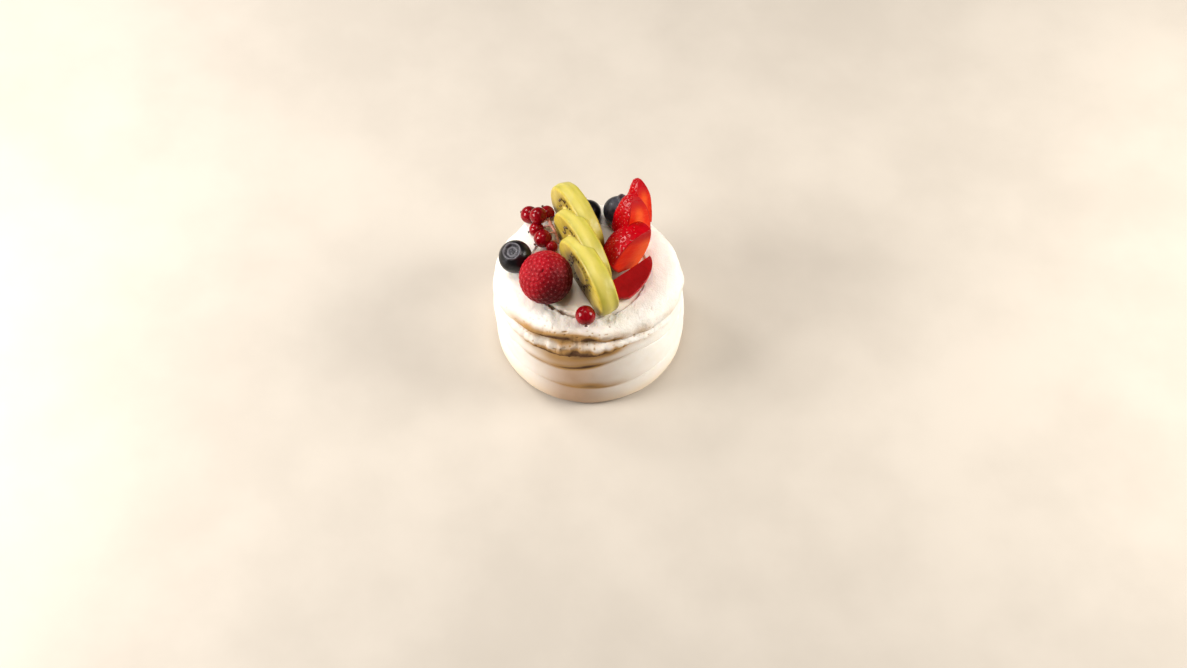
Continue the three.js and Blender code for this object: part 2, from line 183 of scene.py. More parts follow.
def ringFaces(rows, count):
    # quads between neighbouring rings, and a fan at each end to a pole: the first and the last point
    index = 1 + np.arange(rows * count).reshape(rows, count)
    right = np.roll(index, -1, axis=1)
    quads = joined(index[:-1], right[:-1], right[1:], index[1:]).reshape(-1, 4)
    return joined(0, right[0], index[0]), quads, joined(index[-1], right[-1], rows * count + 1)


def withPoles(values):
    # the grid's values in one column, with the mean of the first and the last ring at the poles
    flat = values.reshape((-1,) + values.shape[2:])
    return np.concatenate([values[:1].mean(1), flat, values[-1:].mean(1)])


def makeSurface(name, rings, finish, node, values=None):
    # a closed grid of rings in the place of one node; values may change along the rings or stay the same
    faces = [face for block in ringFaces(*rings.shape[:2]) for face in block.tolist()]
    grids = {key: np.broadcast_to(grid, rings.shape[:2] + np.shape(grid)[2:])
             for key, grid in (values or {}).items()}
    given = {key: withPoles(grid) for key, grid in grids.items()}
    addPiece(name, withPoles(rings), faces, finish, (node,), given)


def makeCopies(name, shapes, finish):
    # many closed grids of one size, shapes[copy, row, point], joined in one mesh
    copies, rows, count = shapes.shape[:3]
    steps = np.arange(copies)[:, None, None] * (rows * count + 2)
    faces = []
    for block in ringFaces(rows, count):
        faces += (block[None] + steps).reshape(-1, block.shape[1]).tolist()
    addPiece(name, np.concatenate([withPoles(shape) for shape in shapes]), faces, finish)


def seedShapes(centres, outward, pointing, size, rows=5, sides=8):
    # a teardrop of a given length, width and thickness: a flat ball drawn to a point along its length
    sweep = np.linspace(0, np.pi, rows + 2)[1:-1][:, None]
    turn = turnsRound(sides)
    along = -np.cos(sweep)
    girth = np.sin(sweep) * (1 - 0.35 * along)
    local = joined(along, girth * np.cos(turn), girth * np.sin(turn))
    centres, outward, pointing = (np.concatenate(part) for part in (centres, outward, pointing))
    zAxis = unit(outward)
    xAxis = unit(pointing - np.sum(pointing * zAxis, axis=-1, keepdims=True) * zAxis)
    axes = np.stack([xAxis, np.cross(zAxis, xAxis), zAxis], axis=-2)
    return centres[:, None, None] + np.einsum("rsk,nkj->nrsj", local * size / 2, axes)


# Shared material tools: a cloud is given as its scale, its contrast and its two colours, and a tint as its
# colour, its strength and, where its mask is eased, the ends of that; colours are 0 to 255 as seen

def shade(colour):
    # a colour in the shader's linear values
    parts = np.array(colour) / 255
    linear = np.where(parts > 0.04045, ((parts + 0.055) / 1.055) ** 2.4, parts / 12.92)
    return (*map(float, linear), 1.0)


def addNode(kind, inputs, tree=None, **settings):
    # sockets are linked and values set; where no tree is named, it is the one that the sockets come from
    linked = {key: value for key, value in inputs.items() if isinstance(value, bpy.types.NodeSocket)}
    tree = tree or next(iter(linked.values())).id_data
    node = tree.nodes.new(kind)
    for key, value in settings.items():
        setattr(node, key, value)
    for key, value in inputs.items():
        if key in linked:
            tree.links.new(value, node.inputs[key])
        else:
            node.inputs[key].default_value = value
    return node


def arithmetic(operation, a, b):
    return addNode("ShaderNodeMath", {0: a, 1: b}, operation=operation).outputs[0]


def times(a, b):
    return arithmetic("MULTIPLY", a, b)


def plus(a, b):
    return arithmetic("ADD", a, b)


def vectorResult(operation, a, b=(0, 0, 0), output=0):
    return addNode("ShaderNodeVectorMath", {0: a, 1: b}, operation=operation).outputs[output]


def spread(value, low, high):
    # 0 at low, 1 at high, eased between them
    inputs = {"Value": value, "From Min": low, "From Max": high}
    return addNode("ShaderNodeMapRange", inputs, interpolation_type="SMOOTHSTEP").outputs[0]


def noiseValue(place, scale, detail=3.0, roughness=0.55):
    inputs = {"Vector": place, "Scale": scale, "Detail": detail, "Roughness": roughness}
    return addNode("ShaderNodeTexNoise", inputs).outputs[0]


def blended(share, low, high):
    # the first colour where the share is 0, the second where it is 1
    return addNode("ShaderNodeMix", {0: share, 6: low, 7: high}, data_type="RGBA").outputs[2]


def tinted(colour, tint, mask):
    # the tint's colour laid over the first one where the mask is
    over, strength, *ends = tint
    share = spread(mask, *ends) if ends else mask
    return blended(times(share, strength), colour, shade(over))


def objectPlace(tree):
    return addNode("ShaderNodeTexCoord", {}, tree).outputs["Object"]


def attributeOf(tree, name, output="Fac"):
    return addNode("ShaderNodeAttribute", {}, tree, attribute_name=name).outputs[output]


def bumped(height, distance, strength):
    inputs = {"Height": height, "Distance": distance, "Strength": strength}
    return addNode("ShaderNodeBump", inputs).outputs[0]


def fineRelief(place, scale, distance, strength):
    # the normal that a fine noise gives
    return bumped(noiseValue(place, scale), distance, strength)


def newGroup(name, inputs, output, kind):
    # an empty group with its named inputs, its one output, and the sockets that they are inside it
    group = bpy.data.node_groups.new(name, "ShaderNodeTree")
    for label, socketKind in inputs.items():
        group.interface.new_socket(label, in_out="INPUT", socket_type="NodeSocket" + socketKind)
    group.interface.new_socket(output, in_out="OUTPUT", socket_type="NodeSocket" + kind)
    given = group.nodes.new("NodeGroupInput").outputs
    return group, given, group.nodes.new("NodeGroupOutput").inputs[output]


def makeMottle():
    # cloudy change of colour: two sizes of noise added, spread round the middle
    group, given, made = newGroup("mottle", {
        "Vector": "Vector", "Scale": "Float", "Contrast": "Float", "Low": "Color", "High": "Color",
    }, "Colour", "Color")
    coarse = noiseValue(given["Vector"], given["Scale"], 2.0)
    fine = noiseValue(given["Vector"], times(given["Scale"], 4.3), 4.0)
    both = plus(times(coarse, 0.65), times(fine, 0.35))
    reach = times(given["Contrast"], 0.3)
    mask = spread(both, arithmetic("SUBTRACT", 0.5, reach), plus(0.5, reach))
    group.links.new(blended(mask, given["Low"], given["High"]), made)
    return group


def makeGrain():
    # powder: fine noise over small cells, as a height
    group, given, made = newGroup("grain", {"Vector": "Vector", "Scale": "Float"}, "Height", "Float")
    cells = addNode("ShaderNodeTexVoronoi", {"Vector": given["Vector"], "Scale": given["Scale"]}).outputs[0]
    fine = noiseValue(given["Vector"], times(given["Scale"], 0.8), 5.0, 0.7)
    group.links.new(plus(times(cells, 0.5), fine), made)
    return group


def makeFibres():
    # fine lines: noise drawn out along one direction of the surface's own place
    group, given, made = newGroup("fibres", {"Place": "Vector", "Stretch": "Vector"}, "Mask", "Float")
    lines = noiseValue(vectorResult("MULTIPLY", given["Place"], given["Stretch"]), 1.0, 3.0, 0.6)
    group.links.new(spread(lines, 0.35, 0.68), made)
    return group


mottleGroup = makeMottle()
grainGroup = makeGrain()
fibresGroup = makeFibres()


def effect(group, inputs):
    # one of the shared groups placed in a material with that material's own values
    return addNode("ShaderNodeGroup", inputs, node_tree=group).outputs[0]


def mottled(place, cloud):
    scale, contrast, low, high = cloud
    inputs = {"Vector": place, "Scale": scale, "Contrast": contrast, "Low": shade(low), "High": shade(high)}
    return effect(mottleGroup, inputs)


def newFinish(name, constants):
    # a material with a plain Principled shader; the constants are set on the shader's own sockets
    finish = bpy.data.materials.new(name)
    finish.use_nodes = True
    shader = finish.node_tree.nodes["Principled BSDF"]
    for key, value in constants.items():
        shader.inputs[key].default_value = value
    return finish, finish.node_tree, shader


def connect(shader, **sockets):
    for key, socket in sockets.items():
        shader.id_data.links.new(socket, shader.inputs[key.replace("_", " ")])


def cloudyFinish(name, constants, cloud, relief=None):
    # one cloud of colour and, where its scale, height and strength are given, a fine relief
    finish, tree, shader = newFinish(name, constants)
    place = objectPlace(tree)
    connect(shader, Base_Color=mottled(place, cloud))
    if relief:
        connect(shader, Normal=fineRelief(place, *relief))
    return finish


# The meringue nest

nest = {   # what is at one place of the edge has its angle in degrees and its width
    "footRadius": 42, "topHeight": 46, "sideShift": -1, "shiftFrom": 10, "shiftTo": 32,
    "frontSpread": 1.15, "frontPower": 1.3, "lipBulge": 1.9, "recessRadius": 27.2, "recessFloor": 42.2,
    "roughness": 0.75, "sideSwell": 0.3, "lowerEdge": 3.2, "climbAt": (-58, 24), "fallAt": (-112, 20),
    # the middle of the front is browned round one place of the edge: partly baking, partly painted shade
    "bakedAndShadedAt": (-99, 23), "crackAt": (-112, 16), "footInset": 1.6, "footRound": 2.6, "paleFoot": (4.5, 7.5),
}
# a coil's line is where its groove's browning, toasting with painted shade, is strongest: an angle and a
# width
coilKeys = ("top", "radius", "setBack", "swell", "torn", "frontRise", "climb", "fall", "edge", "line")
coils = [dict(zip(coilKeys, row)) for row in (
    (13.4, 42.4, 0.5, 1.5, 0.12, 0, 0, 0, 16, (-90, 22)),
    (26, 42.3, 2.9, 1.6, 0.12, 0, 5.2, 2.6, 16, (-97, 27)),
    (34.4, 41.7, 3.2, 1.1, 0.3, 0, 3, 2.2, 3, (-95, 32)),
    (37.8, 41.7, 7.4, 1.6, 1, 4.7, -1.8, 0, 3, (-101, 34)),
)]
nestMesh = {
    "bodyPoints": 420, "crustPoints": 640, "coilRows": 34, "underRows": 6, "foldRows": 44, "lipRows": 64,
    "topRows": 14,
}
nestNoise = {   # layers of height, size and offset
    "soft": ((0.3, (17, 17, 6), 0), (0.12, (8, 8, 2.4), 0)),
    "coarse": ((1, (8, 8, 3.6), 0), (0.55, (3.6, 3.6, 2), (0, 0, 9))),
    "fine": ((0.06, 0.8, 7), (0.05, 0.42, 11), (0.05, 0.24, 5)),
    "ragged": ((1, 0.13, 5), (0.35, 0.04, 2)),
}
# the browning is toasting and painted shade
browningAndShade = {   # how brown each part becomes; a pair is the least, and what is added at the most
    "coil": (0.08, 0.8), "crust": (0.16, 0.8), "shadeUnderCrust": 0.38, "fold": 0.6, "lip": 0.42,
    "crack": (0.15, 0.6), "pit": 0.6, "lump": 0.25, "crustBakedAndShaded": 0.14,
}
tearing = {   # how the crust hangs, steps back and breaks; a pair is the least, and what is added at the most
    "foldHang": (0.7, 1.9), "foldLumps": 1.5, "foldBack": 1.7, "lipHang": (0.5, 0.9), "rimFall": 1.2,
    "rimRagged": (0.5, 1.3), "pitSize": (1.1, 1.1, 0.8), "pitDepth": 1.5, "pitFrom": 0.55,
}
# the front's baked colour is partly painted shade; the foot's warmth is partly a painted reflection; the
# toasted and deep browns are toasting and painted shade
meringueLook = {
    "bakedAndShaded": (45, 0.9, (184, 149, 120), (202, 169, 142)), "bakedAndShadedShare": 0.95,
    "white": (70, 0.9, (245, 238, 229), (252, 248, 243)), "foot": ((244, 214, 168), 0.5, 0.012, 0.001),
    "toastAndShade": ((184, 142, 88), 1, 0.04, 0.55), "deep": ((98, 68, 44), 1, 0.5, 0.95),
    "grainScale": 1500, "grainHeight": 0.00026,
}


def makeMeringueFinish():
    # white, warmer at the foot (a tan and a painted reflection), baked and painted in shade in front, toasted
    # and painted with shade in the grooves; powdery where it is torn
    finish, tree, shader = newFinish("meringueFinish", {
        "Subsurface Weight": 0.2, "Subsurface Radius": (1.0, 0.7, 0.45), "Subsurface Scale": 0.002,
        "Specular IOR Level": 0.25,
    })
    place = objectPlace(tree)
    torn, hollow = attributeOf(tree, "torn"), attributeOf(tree, "hollow")
    height = addNode("ShaderNodeSeparateXYZ", {0: place}).outputs["Z"]
    # the foot is warmer: partly a tan, partly a painted reflection of warm light bounced up from below
    tanAndBounce = tinted(mottled(place, meringueLook["white"]), meringueLook["foot"], height)
    # the middle of the front takes the baked colour: partly baking, partly painted shade
    bakedAndShadedShare = times(attributeOf(tree, "front"), meringueLook["bakedAndShadedShare"])
    shell = blended(bakedAndShadedShare, tanAndBounce, mottled(place, meringueLook["bakedAndShaded"]))
    # the grooves, creases and pits are toasted and painted with shade, deep brown where the mask is strongest
    toastAndShade = tinted(shell, meringueLook["toastAndShade"], hollow)
    deep = tinted(toastAndShade, meringueLook["deep"], hollow)
    grain = effect(grainGroup, {"Vector": place, "Scale": meringueLook["grainScale"]})
    powder = times(grain, plus(times(torn, 0.9), 0.1))
    relief = bumped(powder, meringueLook["grainHeight"], 0.8)
    connect(shader, Base_Color=deep, Roughness=plus(times(torn, 0.3), 0.55), Normal=relief)
    return finish


def frontShare(turn):
    # 1 at the front, falling to 0 at the sides: a power of the cosine of the way round
    away = np.abs(np.arctan2(np.sin(turn + np.pi / 2), np.cos(turn + np.pi / 2)))
    return np.cos(np.minimum(np.pi / 2, away * nest["frontSpread"])) ** nest["frontPower"]


def rising(least, more, share):
    # the least, and more as the share grows
    return least + more * share


def degreesFrom(turn, at):
    # how far round the nest a turn is from one place, -180 to 180
    return (np.degrees(turn) - at + 180) % 360 - 180


def bump(turn, at, width):
    # a bell curve of height 1 round one place on the nest's edge
    return bell(degreesFrom(turn, at), width)


def groove(coil, turn):
    # where a coil ends: it steps back and rises at the front, climbs to the right as it crosses the front,
    # and wanders a little round the nest
    front = frontShare(turn)
    wander = softNoise(circleAt(turn, 1, coil["top"] / 8), 0.34)
    radius = coil["radius"] - coil["setBack"] * front + 0.25 * wander
    slope = coil["climb"] * bump(turn, *nest["climbAt"]) - coil["fall"] * bump(turn, *nest["fallAt"])
    return radius, coil["top"] + coil["frontRise"] * front + slope + 0.45 * wander


def coilRows(low, high, coil, rows, hang, front):
    # a straight line from groove to groove, swollen by a power of the half circle over it, less at the sides
    # than in front; its lower edge hangs by a ragged amount that fades up the coil
    share = clustered(rows)[:, None]
    bulge = np.sqrt(np.clip(1 - (2 * share - 1) ** 2, 0, 1)) ** 0.8
    fullness = nest["sideSwell"] + (1 - nest["sideSwell"]) * np.maximum(front, coil["torn"] > 0.5)
    edges = coil["swell"] * (1 - fullness) * 0.75
    radius = low[0] + (high[0] - low[0]) * share + edges + coil["swell"] * fullness * bulge
    height = low[1] + (high[1] - low[1]) * share - hang * (1 - share) ** 2 * np.sqrt(bulge)
    # browner, with toasting and painted shade, just above the lower groove than just below the upper one
    crease = bell(share * nest["lowerEdge"]) + bell((1 - share) * coil["edge"])
    return radius, height, crease * np.ones_like(low[0])


def nestPoints(turn, radius, height):
    # rings that lean a little to one side from a low height up
    rings = circleAt(turn, radius, height)
    rings[..., 0] += nest["sideShift"] * eased(nest["shiftFrom"], nest["shiftTo"], height)
    return rings


def crags(rings):
    # lumps drawn out along the coils, then finer ones with sharp crests and a crumb
    fine = 0.2 * ridgeNoise(rings, (2.6, 2.6, 1.5), 3) + layered(rings, nestNoise["fine"])
    return layered(rings, nestNoise["coarse"]), fine


def makeMeringueBody(finish):
    # the three lower coils, whose grooves are browned by toasting and painted shade, most in the middle of
    # the front; the coil under the crust gets painted shade over its whole height there
    turn = turnsRound(nestMesh["bodyPoints"])
    front = frontShare(turn)
    lines = [rising(*browningAndShade["coil"], bump(turn, *coil["line"])) for coil in coils]
    half = nestMesh["coilRows"] // 2
    low = (np.full_like(turn, nest["footRadius"]), np.zeros_like(turn))
    columns = []
    for order, coil in enumerate(coils[:3]):
        high = groove(coil, turn)
        radius, height, crease = coilRows(low, high, coil, nestMesh["coilRows"], 0, front)
        crease[:half] *= lines[max(0, order - 1)]
        crease[half:] *= lines[order]
        columns.append((radius, height, crease, np.full(radius.shape, coil["torn"])))
        low = high
    # painted shade over the whole coil under the hanging crust
    columns[-1][2][:] += browningAndShade["shadeUnderCrust"] * lines[1]
    radius, height, crease, loose = (np.concatenate(column) for column in zip(*columns))
    # the foot rounds under, and stays pale
    radius = radius - nest["footInset"] * (1 - eased(0, nest["footRound"], height)) ** 2
    rings = nestPoints(turn, radius, height)
    coarse, fine = crags(rings)
    push = layered(rings, nestNoise["soft"]) + nest["roughness"] * loose * (0.5 * coarse + 0.5 * fine)
    rings = pushedOut(rings, eased(0, 1.5, height) * push)
    patchy = 0.75 + 0.35 * softNoise(rings, (9, 9, 4), 13)
    hollow = np.clip(crease * eased(*nest["paleFoot"], height) * patchy, 0, 1)
    # front is the share of baked colour and painted shade in the middle of the front
    values = {"hollow": hollow, "torn": loose, "front": bump(turn, *nest["bakedAndShadedAt"])}
    makeSurface("meringueCoils", rings, finish, "meringue", values)


def makeMeringueCrust(finish):
    # from under the torn fold, over the fold and the lip, and down into the hollow
    turn = turnsRound(nestMesh["crustPoints"])
    front, middle, cracked = frontShare(turn), bump(turn, *nest["bakedAndShadedAt"]), bump(turn, *nest["crackAt"])
    circle = circleAt(turn)
    low, high = groove(coils[2], turn), groove(coils[3], turn)
    ragged = np.clip(layered(circle, nestNoise["ragged"]), -0.3, 1)
    # the crust's browning lines: toasting and painted shade
    foldLine, lipLine = (rising(*browningAndShade["crust"], bump(turn, *coil["line"])) for coil in coils[2:])
    # the fold is lumpy where it hangs, and draws back into the deep crease under the lip
    fold = coilRows(low, high, coils[3], nestMesh["foldRows"], rising(*tearing["foldHang"], ragged), front)
    below = (1 - clustered(nestMesh["foldRows"]))[:, None]
    lumps = front * (tearing["foldLumps"] * ragged - 0.2) * np.sin(np.pi * below)
    foldRadius = fold[0] + lumps - tearing["foldBack"] * front * bell(below * nest["lowerEdge"])
    # the fold's lower half is browned, partly toasting and partly painted shade under its overhang
    foldShade = fold[2] + browningAndShade["fold"] * eased(0.25, 0.85, below)
    foldCrease = foldShade * np.where(below > 0.5, foldLine, lipLine)
    # the lip is a quarter of a squared circle, and hangs a little over the crease
    inner, top = nest["recessRadius"], nest["topHeight"]
    outer = high[0] + nest["lipBulge"] * (0.75 + 0.35 * softNoise(circle, 0.2, 31))
    sweep = (clustered(nestMesh["lipRows"]) * np.pi / 2)[:, None]
    lipRadius = inner + (outer - inner) * np.cos(sweep) ** 0.75
    lipHang = rising(*tearing["lipHang"], np.clip(softNoise(circle, 0.13, 8), -0.3, 1)) * np.cos(sweep) ** 6
    lipHeight = high[1] + (top - high[1]) * np.sin(sweep) ** 0.9 - lipHang
    # painted shade in the crease under the lip and on the lip's rolled-under wall
    lipCrease = (bell(sweep * 2.2) + browningAndShade["lip"] * eased(1.25, 0.4, sweep)) * lipLine
    # the inside falls to the hollow's floor, ragged where the crust has cracked
    down = np.linspace(0, 1, nestMesh["topRows"])[:, None]
    ragged = rising(*tearing["rimRagged"], cracked) * softNoise(circle, 0.06, 17)
    rimRadius = inner - tearing["rimFall"] * down ** 0.5 + ragged
    rimHeight = top - (top - nest["recessFloor"]) * down ** 1.6 + 0 * turn
    # painted shade going down the inside of the rim, most where it has cracked
    rimCrease = rising(*browningAndShade["crack"], cracked) * eased(0.1, 0.6, down)
    under = np.linspace(0.72, 0.98, nestMesh["underRows"])[:, None]
    radius = np.concatenate([low[0] * under, foldRadius, lipRadius, rimRadius])
    height = np.concatenate([low[1] - 0.4 + 0 * under, fold[1], lipHeight, rimHeight])
    hollow = np.concatenate([foldLine + 0 * under, foldCrease, lipCrease, rimCrease])
    rings = nestPoints(turn, radius, height)
    coarse, fine = crags(rings)
    roughShare = 0.25 + 0.75 * front
    seen = (np.arange(len(rings)) >= nestMesh["underRows"])[:, None]
    sunk = -softNoise(rings, tearing["pitSize"], 21) - tearing["pitFrom"]
    pits = np.clip(sunk, 0, 1) * tearing["pitDepth"] * roughShare
    push = nest["roughness"] * ((0.35 + 0.6 * front) * coarse + roughShare * fine) - pits
    rings = pushedOut(rings, seen * push)
    patchy = 0.8 + 0.4 * softNoise(rings, (6, 6, 3), 13)
    # painted shade in sunken lumps in the middle of the front and in the pits
    lumpShade = browningAndShade["lump"] * middle * np.clip(-coarse - 0.3, 0, 1)
    shadow = np.clip(hollow * patchy + browningAndShade["pit"] * pits + lumpShade, 0, 1)
    # the crust takes a little of the front's baked colour and painted shade
    loose, bakedAndShaded = seen * (0.7 + 0.3 * roughShare), browningAndShade["crustBakedAndShaded"] * middle
    values = {"hollow": shadow, "torn": loose, "front": bakedAndShaded}
    makeSurface("meringueCrust", rings, finish, "meringue", values)


meringueFinish = makeMeringueFinish()
makeMeringueBody(meringueFinish)
makeMeringueCrust(meringueFinish)
print("meringue made")


# The cream

cream = {
    "radius": 26.0, "floor": 42.5, "edge": 45.4, "crown": 47.2, "points": 300, "rows": 110, "lowRows": 6,
    "crack": 3.2, "crackWide": 26, "overlap": 1.1,
    "waves": ((0.3, 8, 4), (0.16, 3.3, 2), (0.05, 1.2, 6)),
}
creamFinish = cloudyFinish("creamFinish", {
    "Subsurface Weight": 0.35, "Subsurface Radius": (1.0, 0.7, 0.5), "Subsurface Scale": 0.003,
    "Specular IOR Level": 0.35, "Roughness": 0.45,
}, (90, 0.8, (240, 226, 211), (248, 239, 228)), (420, 0.0004, 0.5))


def makeCream(finish):
    # a low dome: its height falls with the square of the way to the edge; the edge runs into the crust,
    # but at the front left it dips into a narrow torn crack
    turn = turnsRound(cream["points"])
    share = 1 - 0.99 * np.linspace(0, 1, cream["rows"])[:, None] ** 1.4
    cracked = eased(1.5, 0.6, np.abs(degreesFrom(turn, nest["crackAt"][0])) / cream["crackWide"])
    edge = cream["radius"] + cream["overlap"] * (1 - cracked)
    inward = edge - edge * share
    height = cream["edge"] + (cream["crown"] - cream["edge"]) * (1 - share ** 2)
    top = nestPoints(turn, edge * share, height - cream["crack"] * cracked * bell(inward, 1.2))
    flakes = 0.9 * ridgeNoise(top, (3.4, 1.9, 3), 5) + 0.25 * softNoise(top, 0.8, 3)
    wave = layered(top, cream["waves"]) + cracked * eased(7, 1, inward) * flakes
    top[..., 2] += wave * (0.3 + 0.7 * eased(0, 3, inward))
    lowRadius = np.linspace(0.4, 0.99, cream["lowRows"])[:, None] * cream["radius"]
    rings = np.concatenate([nestPoints(turn, lowRadius, cream["floor"]), top])
    makeSurface("creamFilling", rings, finish, "cream")


makeCream(creamFinish)
print("cream made")


# The raspberry

raspberry = {
    "at": (-19.5, -12.1, 58), "tip": (0, -0.34, 0.94), "radius": 11.6, "length": 24, "taper": 0.2,
    "drupelets": 260, "relief": 0.8, "dome": 0.78, "jitter": 0.022, "points": 380, "rows": 250,
    "shadeSide": (0.75, -0.55, -0.35), "hairsEach": 4, "hairLength": 0.55, "hairRadius": 0.022, "hairSteps": 6,
}
# the dark tint is painted shade away from the light, the valley tint painted shade between drupelets, the tip
# tint a painted highlight; the velvet is its pale fuzz
raspberryLook = {
    "flesh": (160, 0.9, (136, 3, 16), (176, 12, 30)), "shadedRed": ((72, 2, 7), 1),
    "valley": ((84, 1, 9), 1, 0.1, 0.95), "velvet": ((206, 62, 76), 0.2, 0.5, 0.72),
    "tip": ((222, 110, 118), 0.4), "fuzzScale": 1800, "fuzzHeight": 0.00012,
}
hairFinish = cloudyFinish("hairFinish", {"Roughness": 0.45}, (300, 1.0, (206, 92, 96), (226, 138, 134)))


def makeRaspberryFinish():
    # red flesh, with painted shade on the side away from the light and between the drupelets, a painted
    # highlight on each drupelet's top, and a pale fuzz
    finish, tree, shader = newFinish("raspberryFinish", {
        "Subsurface Weight": 0.25, "Subsurface Radius": (1.0, 0.08, 0.1), "Subsurface Scale": 0.0012,
        "Roughness": 0.5, "Specular IOR Level": 0.1, "Sheen Weight": 0.1,
        "Sheen Roughness": 0.3, "Sheen Tint": shade((255, 120, 130)),
    })
    place = objectPlace(tree)
    fuzz = noiseValue(place, raspberryLook["fuzzScale"])
    # painted shade on the side away from the light
    shadedRed = tinted(mottled(place, raspberryLook["flesh"]), raspberryLook["shadedRed"], attributeOf(tree, "dark"))
    # painted shade between the drupelets
    deep = tinted(shadedRed, raspberryLook["valley"], attributeOf(tree, "valley"))
    velvet = tinted(deep, raspberryLook["velvet"], fuzz)
    # a painted highlight on the top of each drupelet
    dotted = tinted(velvet, raspberryLook["tip"], attributeOf(tree, "tip"))
    connect(shader, Base_Color=dotted, Normal=bumped(fuzz, raspberryLook["fuzzHeight"], 0.7))
    return finish


def drupeletCentres():
    # points spread evenly over a ball by the golden angle, then moved a little
    k = np.arange(raspberry["drupelets"])
    z = 1 - (2 * k + 1) / raspberry["drupelets"]
    even = circleAt(k * goldenTurn, np.sqrt(1 - z * z), z)
    return unit(even + raspberry["jitter"] * strayed(even, 0.11, 3))


def onRaspberry(direction, centres):
    # the ball is drawn out to the berry's blunt cone, and each drupelet is a dome round its centre:
    # the root of one minus the square of the way to its edge
    reach = raspberry["dome"] * np.sqrt(4 * np.pi / raspberry["drupelets"])
    distance = np.sqrt(np.maximum(0, 2 - 2 * direction @ centres.T)).min(axis=-1)
    dome = np.sqrt(np.clip(1 - (distance / reach) ** 2, 0, 1))
    dimple = 0.12 * bell(distance, 0.16 * reach)
    wide = raspberry["radius"] * (1 - raspberry["taper"] * direction[..., 2:])
    body = direction * np.concatenate([wide, wide, 0 * wide + raspberry["length"] / 2], axis=-1)
    relief = raspberry["relief"] * (dome - 0.6 - dimple)
    return body + direction * relief[..., None], dome, bell(distance, 0.2 * reach)


def makeRaspberry(finish, centres, axes):
    # directions all round a ball, from pole to pole, carried onto the berry
    sweep = np.linspace(np.pi, 0, raspberry["rows"] + 2)[1:-1][:, None]
    direction = circleAt(turnsRound(raspberry["points"]), np.sin(sweep), np.cos(sweep))
    local, dome, tip = onRaspberry(direction, centres)
    rings = placedAt(local, raspberry["at"], *axes)
    rings = pushedOut(rings, 0.05 * softNoise(rings, 0.8))
    # painted shade to the right, in front and low down
    side = unit(rings - np.array(raspberry["at"])) @ unit(raspberry["shadeSide"])
    dark = 0.95 * eased(-0.25, 0.7, side + 0.12 * softNoise(rings, 3.2, 6))
    # the valleys take painted shade, and each drupelet's top a painted highlight that is weaker where shade
    # is painted
    values = {"valley": 1 - eased(0.35, 0.9, dome), "tip": tip * (1 - 0.6 * dark), "dark": dark}
    makeSurface("raspberryFruit", rings, finish, "raspberry", values)


def makeRaspberryHairs(finish, centres, axes):
    # fine hairs stand round the middle of each drupelet: each leaves along the normal and curls over
    starts = np.repeat(centres, raspberry["hairsEach"], axis=0)
    stray = strayed(starts + np.arange(len(starts))[:, None] * 0.37, 0.09, 50)
    starts = unit(starts + 0.05 * stray)
    roots = placedAt(onRaspberry(starts, centres)[0], raspberry["at"], *axes)
    outward = (starts @ np.array(axes))[:, None]
    lean = unit(strayed(roots, 1.1, 30))[:, None]
    way = np.linspace(0, 1, raspberry["hairSteps"])
    t = way[None, :, None]
    length = raspberry["hairLength"] * (0.75 + 0.5 * softNoise(roots, 1.3, 9))[:, None, None]
    curl = outward * (0.6 * t - 0.38 * t ** 2) + lean * (0.2 * t + 0.7 * t ** 2)
    radii = raspberry["hairRadius"] * (1 - 0.6 * way)
    hairs = np.stack([tubeRings(path, radii, 4) for path in roots[:, None] + length * curl])
    makeCopies("raspberryHairs", hairs, finish)


raspberryParts = (drupeletCentres(), axesAlong(raspberry["tip"]))
makeRaspberry(makeRaspberryFinish(), *raspberryParts)
makeRaspberryHairs(hairFinish, *raspberryParts)
print("raspberry made")


# The blueberries

# the bloom is how pale the waxy bloom is; the right berry's is raised to stand as a painted soft highlight
blueberries = {
    "Left": {"at": (-33.6, 2.6, 52.6), "crown": (-0.2, -0.24, 0.95), "radius": 7.6, "bloomAndHighlight": 0.1},
    "Middle": {"at": (-1.4, 28.8, 50.4), "crown": (-0.5, 0.6, 0.5), "radius": 6.8, "bloomAndHighlight": 0.0},
    "Right": {"at": (13.4, 28.4, 52.6), "crown": (0.45, 0.35, 0.82), "radius": 7.4, "bloomAndHighlight": 0.8},
}
blueberry = {   # the crown's profile runs from the wall's foot over its edge to the middle of the eye
    "flat": 0.92, "points": 150, "ballRows": 60, "ballSweep": (4, 142), "crownRows": 60, "lobes": 5,
    "lobeHeight": 0.06,
    "crown": ((0.565, 0.765), (0.53, 0.80), (0.535, 0.86), (0.54, 0.91), (0.49, 0.915), (0.45, 0.86),
              (0.4, 0.79), (0.34, 0.765), (0.28, 0.775), (0.23, 0.765), (0.15, 0.75), (0.08, 0.765),
              (0.02, 0.77)),
    "wall": 0.5, "ring": 0.28,
    "skin": (190, 0.8, (7, 6, 9), (15, 13, 18)), "wax": ((92, 94, 108), 0.7), "eye": ((136, 134, 142), 0.7),
    "relief": (1500, 0.00006, 0.6),
}


